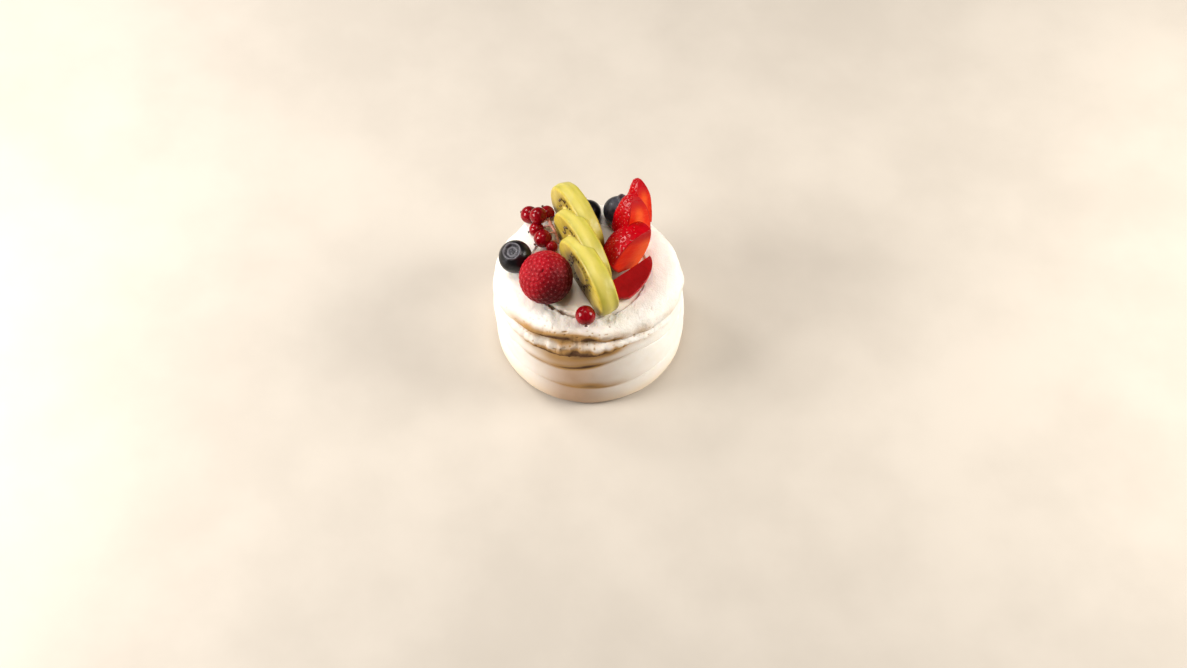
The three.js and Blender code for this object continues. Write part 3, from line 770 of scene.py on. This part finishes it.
def makeBlueberryFinish():
    # nearly black skin under an uneven pale bloom, which is rougher and is also a painted soft highlight on
    # the right berry, and a paler eye whose ridges carry a painted highlight
    finish, tree, shader = newFinish("blueberryFinish", {
        "Specular IOR Level": 0.28, "Coat Weight": 0.08, "Coat Roughness": 0.25,
    })
    place = objectPlace(tree)
    uneven = noiseValue(place, 260, 4.0)
    bloomAndHighlight = spread(plus(uneven, times(attributeOf(tree, "bloomAndHighlight"), 0.55)), 0.55, 1.05)
    waxed = tinted(mottled(place, blueberry["skin"]), blueberry["wax"], bloomAndHighlight)
    # the eye's pale tint lies mostly on its ridges, as a painted highlight
    eyed = tinted(waxed, blueberry["eye"], attributeOf(tree, "eye"))
    roughness = plus(times(bloomAndHighlight, 0.25), 0.3)
    connect(shader, Base_Color=eyed, Roughness=roughness, Normal=fineRelief(place, *blueberry["relief"]))
    return finish


def blueberryProfile(turn, size):
    # the ball, then the crown: a short wall with pointed lobes round a sunken eye with one raised ring
    sweep = np.radians(np.linspace(*blueberry["ballSweep"], blueberry["ballRows"]))
    ball = joined(np.sin(sweep), -blueberry["flat"] * np.cos(sweep))
    profile = np.concatenate([ball, smoothPath(blueberry["crown"], blueberry["crownRows"])])
    radius, height = profile[:, :1], profile[:, 1:]
    onCrown = (np.arange(len(profile)) >= len(ball))[:, None]
    wallShare = eased(0.80, 0.9, height) * eased(0.38, 0.47, radius) * onCrown
    pointed = 1 - np.abs((turn * blueberry["lobes"] / fullTurn) % 1 * 2 - 1)
    lobe = blueberry["lobeHeight"] * (pointed ** 0.8 - 0.45)
    eye = eased(0.58, 0.5, radius) * onCrown
    return size * (radius * (1 + 0.9 * wallShare * lobe)), size * (height + wallShare * lobe), eye


def makeBlueberry(name, berry, finish):
    # the profile turned about the crown's own axis, and a little uneven
    turn = turnsRound(blueberry["points"])
    radius, height, eye = blueberryProfile(turn, berry["radius"])
    rings = placedAt(circleAt(turn, radius, height), berry["at"], *axesAlong(berry["crown"]))
    rough = (0.05 + 0.12 * eye) * softNoise(rings, 0.8) * eased(0, 0.5, eye)
    rings = pushedOut(rings, 0.07 * softNoise(rings, 3.5) + rough)
    near = eased(-0.9, 0.9, height / berry["radius"]) * 0.6 + 0.4
    # the eye's pale tint is strongest on the raised ring and on the crown's wall: a painted highlight on
    # these ridges
    share = radius / berry["radius"]
    ringed = np.maximum(bell(share - blueberry["ring"], 0.05), bell(share - blueberry["wall"], 0.045))
    values = {"eye": eye * (0.15 + 0.85 * ringed), "bloomAndHighlight": berry["bloomAndHighlight"] * near + 0.12 * eye}
    makeSurface("blueberry" + name, rings, finish, "blueberry_" + name.lower(), values)


blueberryFinish = makeBlueberryFinish()
for berryName, berry in blueberries.items():
    makeBlueberry(berryName, berry, blueberryFinish)
print("blueberries made")


# The redcurrants

currants = {   # a twig leaves the stalk at a share of its length
    "currant_1": {"at": (-27.9, 30.2, 47.6), "radius": 4.1, "end": (-0.8, 0.5, -0.2), "twig": 0.0},
    "currant_2": {"at": (-23.6, 25.4, 53.2), "radius": 4.0, "end": (-0.5, 0.75, 0.2), "twig": 0.1},
    "currant_3": {"at": (-19.9, 30.2, 48.8), "radius": 3.6, "end": (-0.5, 0.5, 0.75), "twig": 0.0},
    "currant_4": {"at": (-24.4, 21, 48.4), "radius": 3.5, "end": (-0.9, -0.1, -0.3), "twig": 0.35},
    "currant_5": {"at": (-21.4, 14.3, 50.6), "radius": 4.2, "end": (-0.7, -0.3, -0.5), "twig": 0.65},
    "currant_6": {"at": (-17.3, 10.2, 49.6), "radius": 2.8, "end": (0.3, -0.7, -0.6), "twig": 0.95},
    "currant_front": {"at": (-1.9, -28.4, 50.9), "radius": 4.5, "end": (0.05, -0.85, -0.2)},
}
currant = {
    "points": 72, "rows": 56, "ribs": 12, "flowerLength": 0.24, "flowerRadius": 0.14, "flowerPoints": 20,
    "flowerRows": 12, "skin": (220, 0.7, (116, 1, 10), (148, 3, 20)), "rib": ((190, 40, 48), 0.25),
}
sprig = {
    "stalk": ((-18.9, 24.4, 51.6), (-17.8, 20.8, 53), (-16.3, 17.4, 53), (-15, 14.6, 51.4),
              (-14.2, 12.6, 49)),
    "radius": 0.78, "twigRadius": 0.34, "sides": 14, "steps": 60, "twigSides": 8, "twigSteps": 16,
    "knotTurns": 5, "knotSwell": 0.22, "taper": 0.35, "twigRise": 0.9,
}
stemFinish = cloudyFinish("stemFinish", {
    "Roughness": 0.6, "Subsurface Weight": 0.15, "Subsurface Scale": 0.001,
}, (330, 1.0, (128, 66, 52), (206, 148, 126)), (1400, 0.0002, 0.8))
dryFinish = cloudyFinish("dryFlowerFinish", {
    "Roughness": 0.8,
}, (700, 1.0, (48, 20, 16), (112, 58, 42)), (2500, 0.0002, 1.0))


def makeCurrantFinish():
    # glossy, slightly clear red skin with paler ribs
    finish, tree, shader = newFinish("currantFinish", {
        "Subsurface Weight": 0.3, "Subsurface Radius": (1.0, 0.05, 0.05), "Subsurface Scale": 0.002,
        "Roughness": 0.22, "Coat Weight": 0.25, "Coat Roughness": 0.05, "Specular IOR Level": 0.12,
    })
    skin = mottled(objectPlace(tree), currant["skin"])
    connect(shader, Base_Color=tinted(skin, currant["rib"], attributeOf(tree, "rib")))
    return finish


def makeCurrant(node, berry, finish):
    # a ball with faint ribs from pole to pole, pinched in a little where the dried flower sits
    size = berry["radius"]
    sweep = np.linspace(0, np.pi, currant["rows"] + 2)[1:-1][:, None]
    turn = turnsRound(currant["points"])
    rib = 0.5 + 0.5 * np.cos(currant["ribs"] * turn)
    radius = size * np.sin(sweep) * (1 + 0.004 * rib)
    height = -size * np.cos(sweep) * (1 - 0.06 * bell(np.pi - sweep, 0.25))
    rings = placedAt(circleAt(turn, radius, height), berry["at"], *axesAlong(berry["end"]))
    rings = pushedOut(rings, 0.04 * softNoise(rings, 3))
    name = "redcurrant" + node.split("_")[1].capitalize()
    makeSurface(name, rings, finish, node, {"rib": (rib ** 6) * np.sin(sweep) ** 0.5})


def makeDriedFlowers(finish):
    # a frayed tuft on each currant: a narrow cup whose rim flares and breaks into points
    t = np.linspace(0, 1, currant["flowerRows"])[:, None]
    turn = turnsRound(currant["flowerPoints"])
    points = np.cos(5 * turn)
    frayed = 1 + 0.35 * points * t ** 2 + 0.2 * np.cos(8 * turn + 1) * t ** 2
    radius = currant["flowerRadius"] * (0.9 - 0.35 * np.sin(np.pi * t) + 0.15 * t) * frayed
    height = 0.93 + currant["flowerLength"] * t * (1 - 0.2 * points * t)
    shape = circleAt(turn, radius, height)
    shapes = [placedAt(berry["radius"] * shape, berry["at"], *axesAlong(berry["end"]))
              for berry in currants.values()]
    makeCopies("driedFlowerEnds", np.array(shapes), finish)


def makeSprig(finish):
    # the stalk swells at even steps, and a thin twig bends from it to the back of each berry on it
    path = smoothPath(sprig["stalk"], sprig["steps"])
    share = np.linspace(0, 1, sprig["steps"])
    knots = 1 + sprig["knotSwell"] * np.cos(share * sprig["knotTurns"] * fullTurn) ** 8
    radii = sprig["radius"] * (1 - sprig["taper"] * share) * knots
    rings = tubeRings(path, radii, sprig["sides"])
    rings = pushedOut(rings, 0.08 * softNoise(rings, 1.1))
    makeSurface("currantStalk", rings, finish, "currant_stem")
    twigRadii = sprig["twigRadius"] * np.linspace(1.1, 0.9, sprig["twigSteps"])
    twigs = []
    for berry in currants.values():
        if "twig" in berry:
            root = path[int(berry["twig"] * (sprig["steps"] - 1))]
            back = np.array(berry["at"]) - unit(berry["end"]) * berry["radius"] * 0.97
            middle = (root + back) / 2 + np.array([0, 0, sprig["twigRise"]])
            bend = smoothPath([root, middle, back], sprig["twigSteps"])
            twigs.append(tubeRings(bend, twigRadii, sprig["twigSides"]))
    makeCopies("currantTwigs", np.array(twigs), finish)


currantFinish = makeCurrantFinish()
for currantNode, currantBerry in currants.items():
    makeCurrant(currantNode, currantBerry, currantFinish)
makeDriedFlowers(dryFinish)
makeSprig(stemFinish)
print("redcurrants made")


# The kiwi slices

kiwiSlices = {
    "Front": {"at": (-0.4, -8.4), "radius": 20.5, "height": 21.5, "thickness": 9.4},
    "Middle": {"at": (-3.2, 6.2), "radius": 20.5, "height": 22.5, "thickness": 8.6},
    "Back": {"at": (-5.6, 22.2), "radius": 19, "height": 23, "thickness": 8.6},
}
kiwi = {
    "heading": -62, "foot": 46.2, "centre": 0.36, "bevel": 1.3, "ridge": 0.9, "ridgeAt": 0.12, "coreUp": 12,
    "ringWide": 9, "ringTall": 7.4, "arcPoints": 190, "footPoints": 50, "faceRows": 36, "rimRows": 46,
    "seeds": 38, "seedSize": (1.5, 0.7, 0.5), "seedMargin": (1.5, 1.8), "seedSunk": 0.05,
    "turnStray": 0.22, "wayStray": 0.34,
}
# the rim's pale band along its ridge is a painted highlight; the rim's darker edges and the cut's darker foot
# are painted shade
kiwiLook = {
    "rim": (110, 1.0, (170, 162, 50), (196, 188, 70)), "flesh": (240, 0.8, (182, 158, 44), (208, 184, 64)),
    "core": (500, 0.8, (250, 214, 120), (254, 230, 150)), "coreEdge": (0.76, 0.56),
    "streak": ((216, 201, 112), 0.55), "edgeShade": ((112, 90, 12), 0.85), "ridgeHighlightTint": ((218, 203, 108), 0.6),
    "ring": ((128, 100, 30), 0.6, 1.7, 1.0), "low": ((92, 60, 16), 0.75, -0.3, -1.5),
    "line": ((206, 194, 120), 0.22),
}
seedFinish = cloudyFinish("kiwiSeedFinish", {
    "Roughness": 0.3, "Coat Weight": 0.3,
}, (400, 1.0, (44, 26, 12), (92, 62, 30)))


def makeKiwiFinish():
    # the peeled rim, with a painted highlight along its ridge and painted shade at its edges, and the cut:
    # darker at the ring of seeds, painted shade low down, and fine lines from a core
    finish, tree, shader = newFinish("kiwiFinish", {
        "Subsurface Weight": 0.5, "Subsurface Radius": (1.0, 0.95, 0.3), "Subsurface Scale": 0.005,
        "Roughness": 0.4, "Coat Weight": 0.1, "Coat Roughness": 0.25, "Specular IOR Level": 0.4,
    })
    place, facePlace = objectPlace(tree), attributeOf(tree, "facePlace", "Vector")
    parts = addNode("ShaderNodeSeparateXYZ", {0: facePlace}).outputs
    flat = vectorResult("MULTIPLY", facePlace, (1, 1, 0))
    way = vectorResult("LENGTH", flat, output="Value")
    lines = effect(fibresGroup, {"Place": vectorResult("NORMALIZE", flat), "Stretch": (13, 13, 1)})
    rim = mottled(place, kiwiLook["rim"])
    # on the rim: its own streaks, painted shade at the edges and a painted highlight along the ridge
    for tint, attribute in (("streak", "streak"), ("edgeShade", "edgeShade"), ("ridgeHighlightTint", "ridgeHighlight")):
        rim = tinted(rim, kiwiLook[tint], attributeOf(tree, attribute))
    flesh = mottled(place, kiwiLook["flesh"])
    # on the cut: the darker ring of seeds, painted shade low down, and fine lines
    for tint, mask in (("ring", way), ("low", parts["Y"]), ("line", lines)):
        flesh = tinted(flesh, kiwiLook[tint], mask)
    cut = blended(spread(way, *kiwiLook["coreEdge"]), flesh, mottled(place, kiwiLook["core"]))
    relief = plus(times(times(lines, parts["Z"]), 0.35), noiseValue(place, 500, 4.0))
    connect(shader, Base_Color=blended(parts["Z"], rim, cut), Normal=bumped(relief, 0.0003, 0.5))
    return finish


def kiwiOutline(part, inset):
    # an ellipse whose lower part is cut off straight: up round the arc, and back along the foot
    undercut = math.asin(kiwi["centre"] / (1 - kiwi["centre"]))
    sweep = np.linspace(-undercut, np.pi + undercut, kiwi["arcPoints"])
    side = part["radius"] - inset
    tall = (1 - kiwi["centre"]) * part["height"] - inset
    up = np.maximum(inset, kiwi["centre"] * part["height"] + tall * np.sin(sweep))
    reach = side * math.cos(undercut)
    foot = np.linspace(-reach, reach, kiwi["footPoints"] + 2)[1:-1]
    return np.concatenate([joined(side * np.cos(sweep), up), joined(foot, inset)])


def onKiwi(local, part):
    # a slice's own coordinates: along the cut, up, and through its thickness
    turn = math.radians(kiwi["heading"])
    xAxis, yAxis = np.array([math.cos(turn), math.sin(turn), 0]), np.array([0.0, 0, 1])
    return placedAt(local, (*part["at"], kiwi["foot"]), xAxis, yAxis, np.cross(xAxis, yAxis))


def faceEnds(middle):
    # values for the rings of both cut faces, which are one, round those of the rim
    return np.concatenate([np.ones(kiwi["faceRows"]), middle, np.ones(kiwi["faceRows"])])[:, None]


def makeKiwiSlice(name, part, finish):
    half = part["thickness"] / 2
    # across the rim the outline swells to a soft ridge, and rounds over at both edges by a quarter circle
    z = half * (2 * clustered(kiwi["rimRows"]) - 1)
    over = np.clip((np.abs(z) - (half - kiwi["bevel"])) / kiwi["bevel"], 0, 1)
    aside = z - kiwi["ridgeAt"] * half
    roof = np.sqrt((aside / half) ** 2 + 0.012)
    inset = kiwi["bevel"] * (1 - np.sqrt(1 - over ** 2)) - kiwi["ridge"] * np.clip(1 - roof, 0, 1)
    outlines = np.array([kiwiOutline(part, amount) for amount in inset])
    rim = joined(outlines[..., 0], outlines[..., 1], z[:, None])
    core = np.array([0, kiwi["coreUp"], 0])
    shares = np.linspace(0.03, 1, kiwi["faceRows"] + 1)[:-1, None, None]
    lowFace = core + shares * (rim[0] - core)
    highFace = (core + shares * (rim[-1] - core))[::-1]
    lowFace[..., 2], highFace[..., 2] = -half, half
    local = np.concatenate([lowFace, rim, highFace])
    onFace = faceEnds(np.clip(over * 1.6 - 0.4, 0, 1))
    onRim = 1 - onFace
    across = (local[..., 0] - core[0]) / kiwi["ringWide"]
    up = (local[..., 1] - core[1]) / kiwi["ringTall"]
    way = np.hypot(across, up)
    # the core stands a little proud of the cut, and the band of seeds is a little sunk
    cutRelief = onFace * (0.25 * eased(0.75, 0.4, way) - 0.2 * bell(way - 1, 0.25))
    rings = onKiwi(local, part)
    rings = pushedOut(rings, cutRelief + 0.12 * softNoise(rings, 6) + 0.05 * softNoise(rings, 1.8))
    # streaks run along the rim: a noise drawn out round the arc; painted shade darkens the rim at its low far
    # edge and a little at its near edge, and a painted highlight runs along its ridge
    lengthwise = circleAt(np.arctan2(up, across) * 1.2, 1, local[..., 2] * 0.45 + part["radius"])
    toward = local[..., 2] / half
    edgeShade = eased(0.1, 0.8, -toward) * eased(0.95, 0.2, local[..., 1] / part["height"])
    values = {
        "facePlace": joined(across, up, onFace),
        "ridgeHighlight": bell(faceEnds(aside / (0.45 * half))) * onRim,
        "edgeShade": (edgeShade + 0.45 * eased(0.5, 0.95, toward)) * onRim,
        "streak": np.clip(0.35 + 0.9 * softNoise(lengthwise, 0.6), 0, 1) * onRim,
    }
    makeSurface("kiwiSlice" + name, rings, finish, "kiwi_" + name.lower(), values)


def makeKiwiSeeds(finish):
    # seeds lie in a ring round the core on both cut faces, each pointing at the core
    k = np.arange(kiwi["seeds"])
    centres, outward, pointing = [], [], []
    for order, part in enumerate(kiwiSlices.values()):
        low, high = kiwi["seedMargin"][0], part["height"] - kiwi["seedMargin"][1]
        for side in (-1, 1):
            stray = softNoise(joined(k * 1.7, order * 5.3, side * 3.1), 1)
            turn = k * fullTurn / kiwi["seeds"] + kiwi["turnStray"] * stray
            way = 1 + kiwi["wayStray"] * softNoise(joined(k * 2.3, order * 7.7, side), 1)
            across = kiwi["ringWide"] * way * np.cos(turn)
            up = kiwi["coreUp"] + kiwi["ringTall"] * way * np.sin(turn)
            depth = side * part["thickness"] / 2 - side * kiwi["seedSunk"]
            spots = joined(across, up, depth)[(up > low) & (up < high)]
            middle = onKiwi(np.array([0, kiwi["coreUp"], depth]), part)
            centres.append(onKiwi(spots, part))
            pointing.append(centres[-1] - middle)
            outward.append(onKiwi(spots + np.array([0, 0, side]), part) - centres[-1])
    makeCopies("kiwiSeeds", seedShapes(centres, outward, pointing, kiwi["seedSize"]), finish)


kiwiFinish = makeKiwiFinish()
for sliceName, slicePart in kiwiSlices.items():
    makeKiwiSlice(sliceName, slicePart, kiwiFinish)
makeKiwiSeeds(seedFinish)
print("kiwi slices made")


# The strawberry pieces

# a piece whose red is 1 has its cut face painted dark red, as shade
wedges = {   # cut like a cake: the skin lies between the two angles of the sector
    "strawberry_4": {"base": (6.6, -11.2, 49.6), "tip": (27, 1.3, 55.4), "facing": (-0.5, 0.85, 0.1),
                     "radius": 11.5, "sector": (-90, -58), "bow": 0.0, "red": 1.0},
    "strawberry_3": {"base": (20.8, 1.5, 46), "tip": (27.4, 7.2, 66.6), "facing": (0.68, -0.55, 0.46),
                     "radius": 17.3, "sector": (-103, 0), "bow": 3.2, "red": 0.0},
}
slices = {   # one flat cut face, whose broad end may slope, and the skin behind it
    "strawberry_2": {"left": (17, 8.4, 57), "right": (28, 18.3, 47.2), "tip": (22.2, 19, 74.6),
                     "depth": 12.7, "lean": 3},
    "strawberry_1": {"left": (20.6, 20.3, 53), "right": (28.5, 26.4, 47), "tip": (24.9, 29.5, 72.3),
                     "depth": 10.4, "lean": 4},
}
strawberry = {
    "rows": 150, "endRows": 14, "facePoints": 44, "skinPoints": 110, "skinSteps": 600, "measuredAt": 0.3,
    "blunt": 0.8, "sliceTrim": 0.2, "sliceEdge": 0.5, "leanFrom": 0.55, "roundings": 3,
    "seedStep": 2.4, "seedFrom": 1.2, "dimple": 0.22, "dimpleWide": 0.6, "seedSize": (0.75, 0.45, 0.25),
    "seedSunk": 0.2, "cutLength": 20,
}
# the dark red cloud of one piece's cut face is painted shade
strawberryLook = {
    "skin": (150, 0.9, (156, 1, 12), (192, 5, 22)), "flesh": (200, 0.8, (204, 20, 4), (220, 40, 7)),
    "shadedRed": (130, 0.8, (150, 1, 6), (178, 3, 10)), "pale": ((238, 104, 40), 0.6, 0.6, 0.05),
    "line": ((244, 116, 54), 0.16), "tip": ((178, 10, 12), 1, 0.68, 0.97),
    "edge": ((160, 8, 16), 1, 0.86, 0.99),
}
acheneFinish = cloudyFinish("acheneFinish", {
    "Roughness": 0.35, "Coat Weight": 0.3,
}, (300, 1.0, (150, 24, 22), (204, 84, 58)))


def makeStrawberryFinish():
    # the glossy skin, and the cut: paler towards the core, red at the tip and along its edge; one piece's cut
    # face is painted all dark red, as shade
    finish, tree, shader = newFinish("strawberryFinish", {
        "Subsurface Weight": 0.2, "Subsurface Radius": (1.0, 0.12, 0.06), "Subsurface Scale": 0.0015,
        "Coat Roughness": 0.1, "Specular IOR Level": 0.1,
    })
    place, cutPlace = objectPlace(tree), attributeOf(tree, "cutPlace", "Vector")
    parts = addNode("ShaderNodeSeparateXYZ", {0: cutPlace}).outputs
    share, onCut = parts["X"], parts["Z"]
    lines = effect(fibresGroup, {"Place": cutPlace, "Stretch": (2.2, 30, 0)})
    flesh = mottled(place, strawberryLook["flesh"])
    for tint, mask in (("pale", share), ("line", lines), ("tip", parts["Y"])):
        flesh = tinted(flesh, strawberryLook[tint], mask)
    # where red is 1, the cut face is painted dark red as shade
    face = blended(attributeOf(tree, "red"), flesh, mottled(place, strawberryLook["shadedRed"]))
    edged = tinted(face, strawberryLook["edge"], share)
    colour = blended(onCut, mottled(place, strawberryLook["skin"]), edged)
    roughness = plus(times(onCut, 0.26), 0.24)
    coat = times(arithmetic("SUBTRACT", 1.0, onCut), 0.14)
    relief = bumped(plus(times(times(lines, onCut), 0.3), noiseValue(place, 600)), 0.0002, 0.4)
    connect(shader, Base_Color=colour, Roughness=roughness, Coat_Weight=coat, Normal=relief)
    return finish


def strawberryGirth(s, trimmed):
    # grows with a root from the broad end, then closes to the tip; a slice has lost its first share
    along = np.maximum(0, trimmed + (1 - trimmed) * s)
    return np.minimum(1, 1.6 * np.sqrt(along + 0.16)) * np.clip(1 - along ** 2.5, 0, 1) ** 0.52


def wedgePiece(part):
    # its core runs from the base to the tip; the sector's angles are counted from a quarter turn before the
    # way it faces
    base, tip, facing = (np.array(part[key], float) for key in ("base", "tip", "facing"))
    zAxis = unit(tip - base)
    yAxis = unit(facing - (facing @ zAxis) * zAxis)
    start, stop = np.radians(part["sector"])
    return {"base": base, "axes": (np.cross(yAxis, zAxis), yAxis, zAxis), "radius": part["radius"],
            "length": np.linalg.norm(tip - base), "depth": part["radius"], "start": start, "stop": stop,
            "trimmed": 0.0, "edge": 1.0, "bow": part["bow"], "lean": 0, "red": part["red"]}


def slicePiece(part):
    # its face runs from the sloping broad end, left to right, up to the tip; the skin is behind
    left, right, tip = (np.array(part[key], float) for key in ("left", "right", "tip"))
    base = (left + right) / 2
    yAxis = unit(np.cross(right - left, tip - base))
    radius = np.linalg.norm(right - left) / 2 / strawberryGirth(0, strawberry["sliceTrim"])
    return {"base": base, "axes": (unit(left - right), yAxis, unit(tip - base)), "radius": radius,
            "length": np.linalg.norm(tip - base), "depth": part["depth"], "start": -np.pi, "stop": 0.0,
            "trimmed": strawberry["sliceTrim"], "edge": strawberry["sliceEdge"], "bow": 0,
            "lean": part["lean"], "red": 0.0}


def onBerry(piece, turn, s, share=1.0, inside=0.0):
    # a circle, or a flattened and squared one on a slice, as wide as the berry is there; a wedge's core bows
    # out by a sine of the length, and towards the tip a slice leans back by a square
    reach = share * (piece["radius"] * strawberryGirth(s, piece["trimmed"]) - inside)
    across = np.sign(np.cos(turn)) * np.abs(np.cos(turn)) ** piece["edge"]
    deep = np.sign(np.sin(turn)) * np.abs(np.sin(turn)) ** piece["edge"] * piece["depth"] / piece["radius"]
    aside = (1 - share) * piece["bow"] * np.sin(np.pi * np.clip(s, 0, 1))
    back = piece["lean"] * np.clip((s - strawberry["leanFrom"]) / (1 - strawberry["leanFrom"]), 0, 1) ** 2
    local = joined(reach * across - aside, reach * deep - back, s * piece["length"])
    return placedAt(local, piece["base"], *piece["axes"])


def skinTurns(piece, shares):
    # the turns that lie at the given shares of the skin, and the way round it where the berry is widest
    turn = np.linspace(piece["start"], piece["stop"], strawberry["skinSteps"])
    outline = onBerry(piece, turn, strawberry["measuredAt"])
    way = np.concatenate([[0], np.cumsum(np.linalg.norm(np.diff(outline, axis=0), axis=1))])
    wayRound = way[-1] / strawberryGirth(strawberry["measuredAt"], piece["trimmed"])
    return np.interp(shares * way[-1], way, turn), wayRound


def acheneSpots(piece):
    # staggered rows round the skin: a step apart in a row, and the rows a little closer
    step = strawberry["seedStep"]
    widest = skinTurns(piece, 0.5)[1]
    spots = []
    for row, height in enumerate(np.arange(strawberry["seedFrom"], piece["length"] * 0.97, step * 0.8)):
        s = height / piece["length"]
        count = max(1, int(widest * strawberryGirth(s, piece["trimmed"]) / step))
        shares = (np.arange(count) + 0.3 + 0.4 * (row % 2)) / count
        stray = 0.04 * softNoise(joined(shares * 30, row * 1.7, 0), 1)
        spots.append(joined(skinTurns(piece, np.clip(shares + stray, 0.02, 0.98))[0], s))
    return np.concatenate(spots).T


def nearest(points, spots):
    # the distance from each point to the nearest spot, a row at a time to save memory
    return np.array([np.sqrt(((row[:, None] - spots) ** 2).sum(-1)).min(-1) for row in points])


def makeStrawberry(node, piece, finish):
    # rings from the broad end to the tip: out from the core along one cut, round the skin, and back
    facePoints, endRows = strawberry["facePoints"], strawberry["endRows"]
    s = (0.004 + 0.992 * clustered(strawberry["rows"]))[:, None]
    out = np.linspace(0, 1, facePoints, endpoint=False)
    skinTurn = skinTurns(piece, np.linspace(0, 1, strawberry["skinPoints"]))[0]
    turn = np.concatenate([np.full_like(out, piece["start"]), skinTurn, np.full_like(out, piece["stop"])])
    share = np.concatenate([out, np.ones(strawberry["skinPoints"]), 1 - out])
    body = onBerry(piece, turn, s, share)
    middle = (piece["start"] + piece["stop"]) / 2
    pole = onBerry(piece, middle, -strawberry["blunt"] / piece["length"], 0.3)
    grow = np.sin(np.linspace(0.05, 1, endRows + 1)[:-1] * np.pi / 2)[:, None, None]
    rings = np.concatenate([pole + grow * (body[0] - pole), body])
    for rounding in range(strawberry["roundings"]):   # the knife's edges are a little rounded
        rings = 0.25 * np.roll(rings, 1, axis=1) + 0.5 * rings + 0.25 * np.roll(rings, -1, axis=1)
    distance = nearest(rings[:, facePoints:-facePoints], onBerry(piece, *acheneSpots(piece)))
    push = np.zeros(rings.shape[:2])
    push[:, facePoints:-facePoints] = -strawberry["dimple"] * bell(distance, strawberry["dimpleWide"])
    along = np.concatenate([np.zeros((endRows, 1)), s])
    uneven = 0.1 * softNoise(rings, 4) + 0.04 * softNoise(rings, 1.1)
    rings = pushedOut(rings, push * eased(0, 0.08, along) + uneven)
    onCut = (share < 0.999) * eased(0.97 - 0.025 * piece["lean"], 0.9 - 0.035 * piece["lean"], along)
    onCut[:endRows] = 1
    lengthwise = along * piece["length"] / strawberry["cutLength"]
    values = {"cutPlace": joined(share, lengthwise, onCut), "red": piece["red"]}
    makeSurface("strawberryPiece" + node[-1], rings, finish, node, values)


def makeAchenes(pieces, finish):
    # each seed lies on the skin and points at the tip
    centres, outward, pointing = [], [], []
    for piece in pieces:
        turn, s = acheneSpots(piece)
        spot = onBerry(piece, turn, s, inside=strawberry["seedSunk"])
        ahead = onBerry(piece, turn, np.minimum(s + 0.01, 0.999), inside=strawberry["seedSunk"]) - spot
        sideways = onBerry(piece, turn + 0.01, s, inside=strawberry["seedSunk"]) - spot
        centres.append(spot)
        outward.append(np.cross(sideways, ahead))
        pointing.append(ahead)
    shapes = seedShapes(centres, outward, pointing, strawberry["seedSize"])
    makeCopies("strawberryAchenes", shapes, finish)


strawberryFinish = makeStrawberryFinish()
strawberryPieces = {node: wedgePiece(part) for node, part in wedges.items()}
strawberryPieces.update({node: slicePiece(part) for node, part in slices.items()})
for strawberryNode, strawberryPart in strawberryPieces.items():
    makeStrawberry(strawberryNode, strawberryPart, strawberryFinish)
makeAchenes(strawberryPieces.values(), acheneFinish)
print("strawberry pieces made")


# The floor, the lights and the camera

floor = {"size": 6.0, "cloud": (8, 0.6, (196, 188, 178), (206, 198, 188))}
lamps = {
    "sideLeft": {"at": (-0.56, -0.1, 0.3), "size": 0.32, "power": 4.25, "tint": (1, 0.97, 0.92)},
    "sideRight": {"at": (0.56, 0.0, 0.33), "size": 0.34, "power": 4.2, "tint": (1, 0.96, 0.89)},
    "overhead": {"at": (-0.05, 0.05, 0.75), "size": 0.25, "power": 1.4, "tint": (1, 0.93, 0.84)},
    "backLeft": {"at": (-0.4, 0.36, 0.44), "size": 0.2, "power": 1.9, "tint": (1, 0.97, 0.93)},
}
lampTarget = (0, 0, 0.04)
studio = {"tint": (1.0, 0.93, 0.86, 1), "strength": 0.1}
view = {"elevation": 56, "distance": 0.9, "lens": 57.7, "sensor": 36, "target": (0.00166, -0.00274, -0.00185)}


def addItem(name, data, at=(0, 0, 0), target=None):
    # an object in the scene, turned to look at its target where one is given
    item = bpy.data.objects.new(name, data)
    bpy.context.scene.collection.objects.link(item)
    if target is not None:
        x, y, z = np.array(at) - np.array(target)
        item.location = at
        item.rotation_euler = (math.atan2(math.hypot(x, y), z), 0, math.atan2(x, -y))
    return item


def makeFloor():
    # a plain square
    half = floor["size"] / 2
    mesh = bpy.data.meshes.new("floor")
    corners = [(-half, -half, 0), (half, -half, 0), (half, half, 0), (-half, half, 0)]
    mesh.from_pydata(corners, [], [(0, 1, 2, 3)])
    finish = cloudyFinish("floorFinish", {"Roughness": 0.7, "Specular IOR Level": 0.2}, floor["cloud"])
    mesh.materials.append(finish)
    addItem("floor", mesh)


def makeLamps():
    for name, lamp in lamps.items():
        data = bpy.data.lights.new(name, "AREA")
        data.shape = "DISK"
        data.size, data.energy, data.color = lamp["size"], lamp["power"], lamp["tint"]
        addItem(name, data, lamp["at"], lampTarget)
    world = bpy.data.worlds.new("studio")
    world.use_nodes = True
    background = world.node_tree.nodes["Background"]
    background.inputs["Color"].default_value = studio["tint"]
    background.inputs["Strength"].default_value = studio["strength"]
    bpy.context.scene.world = world
    bpy.context.scene.view_settings.view_transform = "Standard"


def makeCamera():
    # it looks down at the target from in front
    data = bpy.data.cameras.new("camera")
    data.lens, data.sensor_width = view["lens"], view["sensor"]
    raised = math.radians(view["elevation"])
    back = np.array([0, -math.cos(raised), math.sin(raised)])
    at = np.array(view["target"]) + view["distance"] * back
    bpy.context.scene.camera = addItem("camera", data, at, view["target"])


makeFloor()
makeLamps()
makeCamera()
print("stage made")
